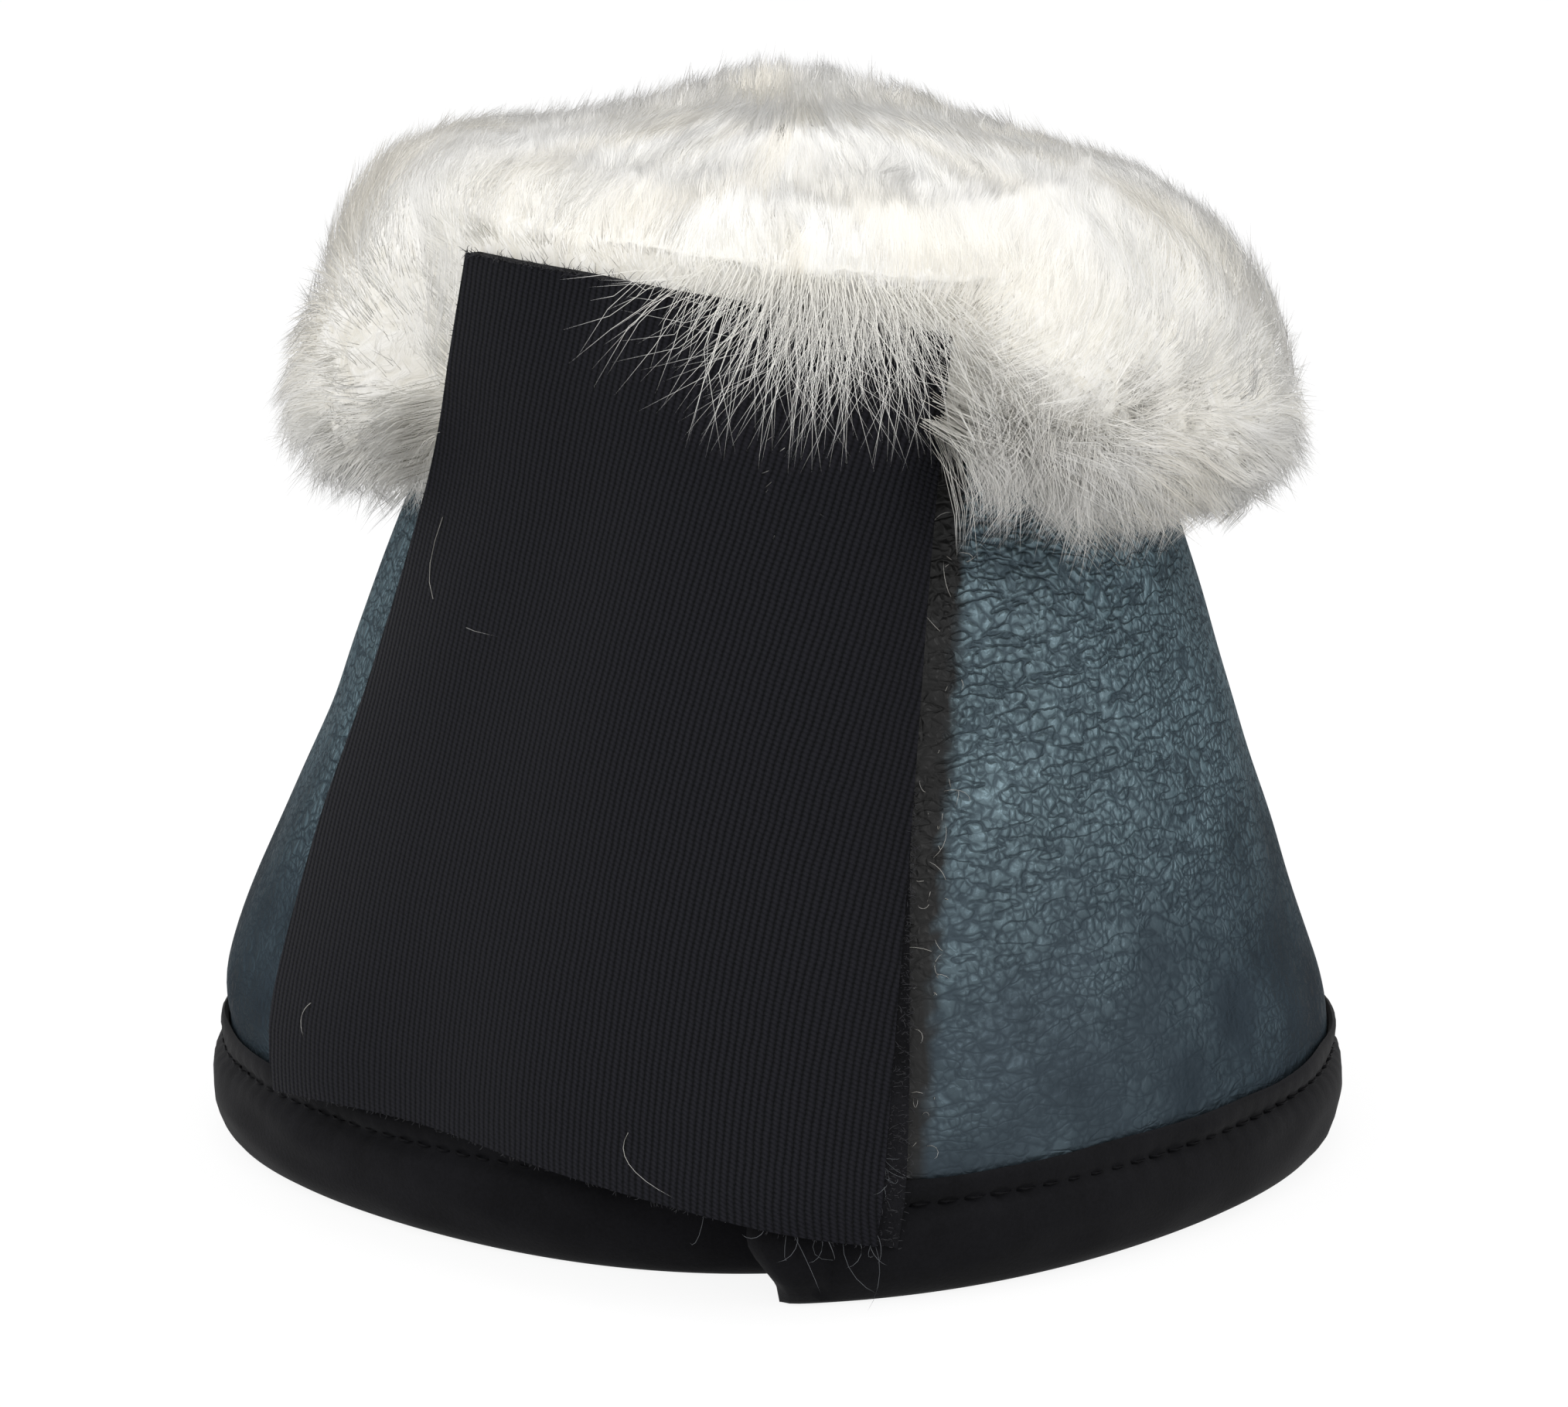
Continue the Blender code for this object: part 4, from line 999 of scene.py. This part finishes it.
def add_fur():
    """The collar's pile, in pieces by place, with more hairs where they are seen."""
    draw = np.random.default_rng(7)
    share = 1.0
    regions = (
        # stretch, turns from and to in degrees, hairs
        ("right", 1.5, 26, 17000), ("right", 26, 48, 17500), ("right", 48, 75, 17500),
        ("right", 75, 110, 17000), ("right", 110, 152, 9500), ("back", 152, 208, 12000),
        ("left", 208, 255, 9500), ("left", 255, 285, 17000), ("left", 285, 310, 16500),
        ("left", 310, 361.5, 16500),
    )
    for number, (place, start, end, count) in enumerate(regions):
        count = int(count * share)
        psi = draw.uniform(radians(start), radians(end), count)
        a = np.radians(np.where(draw.uniform(0, 1, count) < 0.4, draw.uniform(45, 150, count),
                                draw.uniform(-66, 205, count)))
        behind, *_ = on_flap(fur_skin(psi, a, core_inset(psi, a)), radians(-4))
        seen = ~(behind & (a < radians(80))) & (draw.uniform(0, 1, count) > 0.6 * ragged(psi, a))
        psi, a = psi[seen], a[seen]
        paths, normals = hair_paths(psi, a, draw)
        crossing, face, radius, x, y = on_flap(paths, radians(0.6))
        hidden = crossing & ((radius < face + 0.3 * MM) | (np.arctan2(x, -y) < radians(-9)))
        kept = ~(hidden.any(1) & (a < radians(80)))
        psi, a, paths, normals = psi[kept], a[kept], paths[kept], normals[kept]
        cream = 0.5 + 0.3 * ripple(*pile_place(psi, a), 34 * MM, 36) + draw.uniform(-0.2, 0.2, len(psi))
        radius = 0.058 * MM * draw.uniform(0.7, 1.3, len(psi))
        piece = add_hairs(f"{place}_pile_{number}", paths, radius, cream, FUR, normals)
        piece.visible_shadow = False
        piece.visible_diffuse = False
        carry(piece, place)


def add_end_pile():
    """Pile on the faces where the two halves' collars meet, which show when the boot is open."""
    draw = np.random.default_rng(61)
    count = 3000
    for place, psi, side in (("right", PILE_PART, -1), ("left", PILE_PART + TURN, 1)):
        a = draw.uniform(CORE_LOW, pi - CORE_LOW, count)
        root = pile_body(psi, a, draw.uniform(0.5, 10, count) * MM)
        away = side * np.array((cos(psi), sin(psi), 0))
        way = unit(away + (0, 0, -0.3) + draw.normal(0, 0.35, (count, 3)))
        length = draw.uniform(2.5, 5.5, count) * MM
        drop = np.array((0, 0, 0.2))
        paths = [root + length[:, None] * (t * way - t * t * drop) for t in (0.0, 0.5, 1.0)]
        lie = unit(away + (0, 0, 0.5) + draw.normal(0, 0.15, (count, 3)))
        tint = draw.uniform(0.3, 0.8, count)
        piece = add_hairs(place + "_end_pile", np.stack(paths, 1), 0.09 * MM, tint, FUR, lie)
        carry(piece, place)


def add_falling_hairs():
    """Long hairs that hang from the collar over the flap's top edge and fan out, crossing, over the cloth.
    """
    draw = np.random.default_rng(17)
    count = 700
    phi = np.clip(draw.normal(radians(6), radians(9), count), radians(-22), radians(22.5))
    head = flap_head(phi)
    edge = flap_radius(phi, head)
    high = head + draw.uniform(1.2, 6.0, count) * MM
    root = at(phi, edge - draw.uniform(0.0, 3.0, count) * MM, high)
    length = draw.choice((5.0, 10.0, 17.0), count, p=(0.4, 0.3, 0.3)) * draw.uniform(0.7, 1.15, count) * MM
    turn = 3.1 * (phi - radians(7)) + draw.normal(0, radians(20), count)
    radius = NECK_RADIUS + 6 * MM

    def hanging(share, bow):
        """Turn and height of the points down the flap at a share of the length, turned by bow more."""
        aside = phi + share * length * np.sin(turn + bow) / radius
        low = head - share * length * np.cos(turn + bow)
        return aside, low

    bow = draw.normal(0, radians(14), count)
    low_phi, low = hanging(1.0, bow)
    tip = at(low_phi, flap_radius(low_phi, low) + draw.uniform(0.4, 2.2, count) * MM, low)
    near_phi, near = hanging(0.5, -bow)
    near = at(near_phi, flap_radius(near_phi, near) + draw.uniform(1.5, 3.5, count) * MM, near)
    over = at(phi, edge + draw.uniform(3.0, 7.0, count) * MM, high + draw.uniform(-1.0, 1.5, count) * MM)
    paths = clear_of_flap(curve((root, over, near, tip), (0.0, 0.35, 0.7, 1.0)), 0.4 * MM)
    for place, side in (("left", phi < RIGHT_FUR_END), ("right", phi >= RIGHT_FUR_END)):
        tint = draw.uniform(0, 0.4, side.sum())
        lie = unit(np.stack((np.sin(phi[side]), -np.cos(phi[side]), 0.9 + 0 * phi[side]), -1))
        piece = add_hairs(place + "_falling_hairs", paths[side], 0.05 * MM, tint, FUR, lie)
        carry(piece, place)
        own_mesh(piece)


def add_wisps():
    """Ragged tufts of 20 hairs that hang from the collar over the leather, their ends drawn together."""
    draw = np.random.default_rng(23)
    groups = (
        # half, turns from and to, tufts, section's turns from and to, fall and shift aside in mm (0: fanned)
        ("right", 19, 52, 170, -34, 12, 11, 0), ("right", 52, 72, 40, -50, -15, 6, 5),
        ("left", -90, -62, 50, -52, -15, 5, -4),
    )
    for number, (place, start, end, tufts, low, high, fall, aside) in enumerate(groups):
        tuft = np.repeat(np.arange(tufts), 20)
        count = len(tuft)
        middle = draw.uniform(radians(start), radians(end), tufts)[tuft]
        a = draw.uniform(radians(low), radians(high), tufts)[tuft] + draw.normal(0, radians(6), count)
        psi = middle + draw.normal(0, radians(1.6), count) + (TURN if place == "left" else 0)
        root = pile_body(psi, a, 0.8 * MM)
        _, high = fur_section(psi, a, 0)
        length = draw.uniform(0.55, 1.1, tufts)[tuft] * draw.uniform(0.8, 1.1, count) * fall * MM
        fan = 2.2 * (middle - radians(28)) if aside == 0 else 0
        turn = fan + draw.normal(0, 0.45, tufts)[tuft] + draw.normal(0, 0.16, count)
        slide = aside * MM * draw.uniform(0.3, 1.1, tufts)[tuft] + length * np.sin(turn)
        slide = slide / (NECK_RADIUS + 8 * MM)
        free, _ = fur_section(psi, a, 0)
        stand = draw.uniform(1.5, 6.0, tufts)[tuft] * MM
        tip_w = np.maximum(0.55 * free, stand)
        tip = wall(psi + slide, high - length * np.cos(turn), tip_w)
        tip = gather(tip, tuft, draw.uniform(0.2, 0.75, count))
        bow = draw.normal(0, radians(2), tufts)[tuft]
        bend = wall(psi + 0.4 * slide + bow, high - 0.1 * length, free + draw.uniform(0.5, 3.0, count) * MM)
        paths = curve((root, bend, tip), (0.0, 0.35, 0.7, 1.0))
        crossing, *_ = on_flap(paths[:, -1], radians(0.4))
        tint = draw.uniform(0.1, 0.6, count)[~crossing]
        lie = fur_shade(psi, a)[~crossing]
        name = f"{place}_wisps_{number}"
        piece = add_hairs(name, paths[~crossing], 0.045 * MM, tint, FUR, lie)
        carry(piece, place)


# Closing flap

def flap_at(s, t, out=0.0):
    """Points out metres outside the flap's face; s runs from right to left edge, t from foot to head."""
    right = through(t, FLAP_RIGHT_TURNS)
    phi = right + (through(t, FLAP_LEFT_TURNS) - right) * s
    z = through(s, FLAP_FOOT) + t * (through(s, FLAP_HEAD) - through(s, FLAP_FOOT))
    return at(phi, flap_radius(phi, z) + out, z)


def flap_share(turn, t):
    """Where a turn crosses the flap at t, as a share of its width from the right edge."""
    right = through(t, FLAP_RIGHT_TURNS)
    return (right - turn) / (right - through(t, FLAP_LEFT_TURNS))


def flap_relief(s, t):
    """The cloth's small swells, and how its sewn right edge is drawn down to the leather."""
    wide = 80 * MM
    swell = 0.3 * MM * ripple(s * wide, t * 100 * MM, 30 * MM, 41)
    sewn = -0.85 * MM * smooth(1 - s * wide / (5 * MM))
    return swell * smooth(s * wide / (8 * MM)) + sewn


def add_flap_layer(name, near, far, inset, thick, finish):
    """One layer of the flap between two turns, or its own edges where a turn is None."""
    t = np.linspace(0, 1, 120)[None]
    low = 0 * t if near is None else flap_share(near, t)
    high = 1 + 0 * t if far is None else flap_share(far, t)
    if near is None and finish == HOOKS:
        low = low - 0.03 * smooth((0.55 - t) / 0.5)
    columns = 14 if near is None else 84
    s = high + (low - high) * np.linspace(0, 1, columns)[:, None]
    t = t + 0 * s
    relief = flap_relief(s, t)
    outer, inner = flap_at(s, t, relief - inset), flap_at(s, t, relief - inset - thick)
    across = np.linalg.norm(flap_at(s, t) - flap_at(0.5 + 0 * s, t), axis=-1) * np.sign(0.5 - s)
    run = np.cumsum(np.linalg.norm(np.diff(flap_at(0.5 + 0 * t[0], t[0]), axis=0), axis=-1))
    cloth = np.stack((across, np.broadcast_to(np.concatenate(([0], run)), s.shape)), -1)
    return add_slab(name, outer, inner, cloth, finish), cut_size(outer)


def fold_frame(turn):
    """A point on the fold line at one turn, and the direction across it towards the flap's free side."""
    low, high = FLAP_FOOT[1], FLAP_HEAD[1]
    foot, head = at(turn, flap_radius(turn, low), low), at(turn, flap_radius(turn, high), high)
    axis = unit(head - foot)
    outward = unit(np.array((sin(turn), -cos(turn), 0.3)))
    return (foot + head) / 2, unit(np.cross(outward, axis))


def bend_over(piece, turn):
    """The cloth keeps its place, baked into its points; the fold's middle and direction at the turn go unused.
    """
    middle, across = fold_frame(turn)
    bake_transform(piece)


def add_flap():
    """The flap's woven face and hooked back, cut where the bending strip is rigid."""
    parts = (
        ("sewn", None, SEAM_TURN, "right_shell", "flap_bend", FOLD_TURN, "flap_anchor"),
        ("free", SEAM_TURN, None, "flap_bend", "flap_panel", BEND_END, "flap_panel"),
    )
    for name, near, far, first, second, fold, node_name in parts:
        face, cut = add_flap_layer(f"flap_{name}_cloth", near, far, 0, FABRIC_THICK, WEAVE)
        back, back_cut = add_flap_layer(f"flap_{name}_hook_tape", near, far, FABRIC_THICK + 0.05 * MM,
                                        HOOK_THICK, HOOKS)
        nodes = [node_name + "_fabric"] + (["flap_bend_fabric"] if name == "free" else [])
        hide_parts(*nodes)
        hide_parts(*(n.replace("fabric", "hooks") for n in nodes))
        for piece in (face, back):
            bend_over(piece, fold)


def bent_fibres(root, way, length, curl, draw):
    """Fibres as arcs: each leaves its root one way and turns up to curl radians about an axis of its own."""
    way = unit(way)
    side = unit(np.cross(way, draw.normal(0, 1, way.shape)))
    turned = (curl * draw.uniform(0.3, 1.0, len(root)))[:, None]
    paths = []
    for t in np.linspace(0, 1, 6):
        step = np.sin(turned * t) / turned * way + (1 - np.cos(turned * t)) / turned * side
        paths.append(root + length[:, None] * step)
    return np.stack(paths, 1)


def add_flap_fibres(name, s, t, way, length, radius, curl, finish, draw):
    """Fibres rooted in the flap at shares s and t, which ride on the stretch of the flap that they are on."""
    root = flap_at(s, t, flap_relief(s, t) - 0.3 * MM)
    paths = bent_fibres(root, way, length, curl, draw)
    right = through(t, FLAP_RIGHT_TURNS)
    turn = right + (through(t, FLAP_LEFT_TURNS) - right) * s
    parts = (("right_shell", turn > FOLD_TURN), ("flap_bend", (turn <= FOLD_TURN) & (turn > BEND_END)),
             ("flap_panel", turn <= BEND_END))
    for body, side in parts:
        if side.any():
            tint = draw.uniform(0, 1, side.sum())
            piece = add_hairs(f"{name}_on_{body}", paths[side], radius, tint, finish)
            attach(piece, body)


def add_frays():
    """Loose fibres: frays along the flap's cut edges, and grey threads at its lower right corner."""
    draw = np.random.default_rng(41)
    edges = (
        # name, count, s from, s to, t from, t to, how far up, right and out, longest, curl
        ("head_fray", 900, 0.0, 1.0, 0.995, 1.0, 0.8, 0.0, 1.0, 2.6, 2.0),
        ("left_fray", 420, 0.998, 1.0, 0.3, 1.0, 0.2, -1.0, 0.2, 0.9, 1.5),
        ("right_fray", 500, -0.03, 0.002, 0.0, 0.5, -0.2, 0.7, 0.5, 1.6, 2.0),
        ("foot_fray", 420, 0.0, 1.0, 0.0, 0.003, -1.0, 0.0, 0.1, 1.0, 2.0),
    )
    for name, count, s0, s1, t0, t1, up, right, out, longest, curl in edges:
        t = draw.uniform(t0, t1, count)
        s = draw.uniform(s0, s1, count) * (smooth((0.55 - t) / 0.5) if s0 < 0 else 1)
        phi = through(t, FLAP_RIGHT_TURNS) * (1 - s) + through(t, FLAP_LEFT_TURNS) * s
        outward = np.stack((np.sin(phi), -np.cos(phi), 0.3 + 0 * phi), -1)
        aside = np.stack((np.cos(phi), np.sin(phi), 0 * phi), -1)
        way = right * aside + up * np.array((0, 0, 1.0)) + out * outward + draw.normal(0, 0.35, (count, 3))
        length = draw.uniform(0.25, 1.0, count) ** 2 * longest * MM
        add_flap_fibres(name, s, t, way, length, 0.055 * MM, curl, FRAY, draw)
    threads = (
        # name, count, s up to, t up to, way, longest
        ("foot_threads", 13, 0.24, 0.004, (0.15, -0.35, -1.0), 9.0),
        ("side_threads", 9, 0.003, 0.13, (0.8, -0.3, -0.5), 6.0),
    )
    for name, count, s1, t1, way, longest in threads:
        s, t = s1 * draw.uniform(0, 1, count) ** 1.5, t1 * draw.uniform(0, 1, count)
        way = np.array(way) + draw.normal(0, 0.4, (count, 3))
        length = draw.uniform(0.3, 1.0, count) * longest * MM
        add_flap_fibres(name, s, t, way, length, 0.045 * MM, 2.6, THREADS, draw)


def add_lint():
    """Pale lint caught on the sewn strip beside the flap, and single long hairs on the flap's cloth."""
    draw = np.random.default_rng(43)
    count = 46
    z = draw.uniform(16, 92, count) * MM
    psi = flap_edge(z) + draw.uniform(0.5, 6.5, count) * MM / wall_radius(z)
    root = wall(psi, z, leather_relief(psi, z) + 0.1 * MM)
    aside = np.stack((np.cos(psi), np.sin(psi), 0 * psi), -1)
    out = np.stack((np.sin(psi), -np.cos(psi), 0 * psi), -1)
    way = aside * draw.normal(0, 1, (count, 1)) + 0.25 * out
    way = way + np.array((0, 0, 1.0)) * draw.normal(0, 1, (count, 1))
    paths = bent_fibres(root, way, draw.uniform(1.5, 5.5, count) * MM, 3.5, draw)
    lint = add_hairs("strip_lint", paths, 0.045 * MM, draw.uniform(0, 1, count), LINT)
    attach(lint, "right_shell")
    hairs = (
        ((0.92, 0.68), (0.955, 0.55), (0.70, 0.56)), ((0.315, 0.07), (0.34, 0.03), (0.25, 0.012)),
        ((0.90, 0.11), (0.93, 0.095), (0.91, 0.07)),
    )
    spots = curve(np.array(hairs).transpose(1, 0, 2), np.linspace(0, 1, 9))
    paths = flap_at(spots[..., 0], spots[..., 1], 0.25 * MM)
    hairs = add_hairs("flap_lint", paths, 0.05 * MM, np.full(len(paths), 0.5), LINT)
    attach(hairs, "flap_panel")


def add_tapes():
    """Woven tape folded over each half's front edge."""
    for place, end, side, top in (("right", RIGHT_END, 1, FUR_FOOT), ("left", LEFT_END, -1, TAB_TOP)):
        rows = wall_rows(HEM_TOP + CLEAR, top - 1.6 * MM, 2 * MM)[:, None]
        radius = wall_radius(rows)
        face, back = CLEAR, -WALL_THICK - CLEAR
        lip, gap = side * TAPE_LIP / radius, -side * CLEAR / radius
        out = -side * (CLEAR + TAPE_THICK) / radius
        over, under = face + TAPE_THICK, back - TAPE_THICK
        path = [(lip, over), (out, over), (out, under), (lip, under)]
        path += [(lip, back), (gap, back), (gap, face), (lip, face)]
        corners = [wall(end + turn, rows, w + 0 * rows)[:, 0] for turn, w in path]
        rings = np.stack(corners, 1)
        if side > 0:
            rings = rings[:, ::-1]
        tape = add_tube(place + "_edge_tape", rings, TAPE)
        carry(tape, place, ["end_tape"])


def add_patch():
    """The loop patch under the flap, in place of the model's patch and its thread; no thread is drawn."""
    turns = np.linspace(PATCH_LEFT, PATCH_RIGHT, 30)[:, None] + TURN
    rows = wall_rows(PATCH_FOOT, PATCH_HEAD, 2 * MM)[None]
    outer, inner = wall(turns, rows, CLEAR + PATCH_THICK), wall(turns, rows, CLEAR)
    cloth = np.stack(np.broadcast_arrays(turns * SKIRT_RADIUS, rows), -1)
    patch = add_slab("loop_pile_patch", outer, inner, cloth, LOOPS)
    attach(patch, "left_shell")
    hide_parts("loop_patch", "loop_patch_thread")


# Floor, light and camera

ROOM_LIGHT = 1.0
LAMPS = (
    # name, place, height that it looks at, side, power
    ("key", (0.9, -0.5, 0.6), 0.07, 0.4, 1.8),
    ("top", (0.1, 0.1, 1.2), 0.1, 0.6, 1.2),
    ("front", (-0.25, -1.0, 0.95), 0.07, 0.6, 2.5),
    ("left", (-1.0, -0.5, 0.6), 0.08, 0.6, 3.3),
)
PICTURE_WIDTH = 2028
VIEW_RISE = radians(12.5)
VIEW_FAR = 0.8


def seen_directly(add):
    """1 for rays of the camera, of gloss and through glass, 0 for the rays that light the object."""
    path = add("LightPath").node.outputs
    seen = add("Math", (path["Is Camera Ray"], path["Is Glossy Ray"]), operation="MAXIMUM")
    return add("Math", (seen, path["Is Transmission Ray"]), operation="MAXIMUM")


def add_stage():
    """A white floor that keeps the boot's soft shadow, and a white surround that the camera and gloss see."""
    made, add = new_finish("white paper floor")
    seen = seen_directly(add)
    tone = add("Mix", {0: seen, 6: (0.5, 0.5, 0.5, 1), 7: (0.9, 0.9, 0.9, 1)}, out=2, data_type="RGBA")
    paper = add("BsdfDiffuse", {"Color": tone})
    glow = add("Emission", {"Color": (1, 1, 1, 1), "Strength": 1.03})
    half = add("Math", (seen, 0.86), operation="MULTIPLY")
    add("OutputMaterial", (add("MixShader", (half, paper, glow)),))
    side = 3.0
    corners = side * np.array(((-1, -1, 0), (1, -1, 0), (1, 1, 0), (-1, 1, 0)))
    mesh = bpy.data.meshes.new("floor")
    mesh.from_pydata([tuple(c) for c in corners], [], [(0, 1, 2, 3)])
    mesh.materials.append(made)
    floor = bpy.data.objects.new("floor", mesh)
    bpy.context.scene.collection.objects.link(floor)
    world = bpy.data.worlds.new("studio")
    bpy.context.scene.world = world
    world.use_nodes = True
    world.node_tree.nodes.clear()
    add = partial(node, world.node_tree)
    room = add("Background", {"Color": (1, 1, 1, 1), "Strength": ROOM_LIGHT})
    white = add("Background", {"Color": (1, 1, 1, 1), "Strength": 1.0})
    add("OutputWorld", (add("MixShader", (seen_directly(add), room, white)),))


def add_lamp(name, place, height, size, power):
    """One square soft lamp that looks at a point over the middle of the floor."""
    data = bpy.data.lights.new(name, "AREA")
    data.shape = "SQUARE"
    data.size = size
    data.energy = power
    lamp = bpy.data.objects.new(name, data)
    bpy.context.scene.collection.objects.link(lamp)
    lamp.location = place
    lamp.rotation_euler = (Vector((0, 0, height)) - Vector(place)).to_track_quat("-Z", "Y").to_euler()
    lamp.visible_camera = False


def add_camera():
    """The photograph's view, from VIEW_FAR away and VIEW_RISE above level."""
    data = bpy.data.cameras.new("camera")
    data.lens = 139.35
    data.sensor_width = 36
    data.shift_x = 10 / PICTURE_WIDTH
    data.shift_y = -110 / PICTURE_WIDTH
    camera = bpy.data.objects.new("camera", data)
    bpy.context.scene.collection.objects.link(camera)
    aim = Vector((0, -0.6 * MM, 70 * MM))
    back = Vector((0, -cos(VIEW_RISE), sin(VIEW_RISE)))
    camera.location = aim + VIEW_FAR * back
    camera.rotation_euler = (-back).to_track_quat("-Z", "Y").to_euler()
    bpy.context.scene.camera = camera


add_walls()
add_hems()
add_tapes()
add_patch()
add_fur_cores()
add_fur()
add_end_pile()
add_falling_hairs()
add_wisps()
add_flap()
add_frays()
add_lint()
add_stage()
for lamp in LAMPS:
    add_lamp(*lamp)
add_camera()
bpy.context.scene.view_settings.view_transform = "Standard"
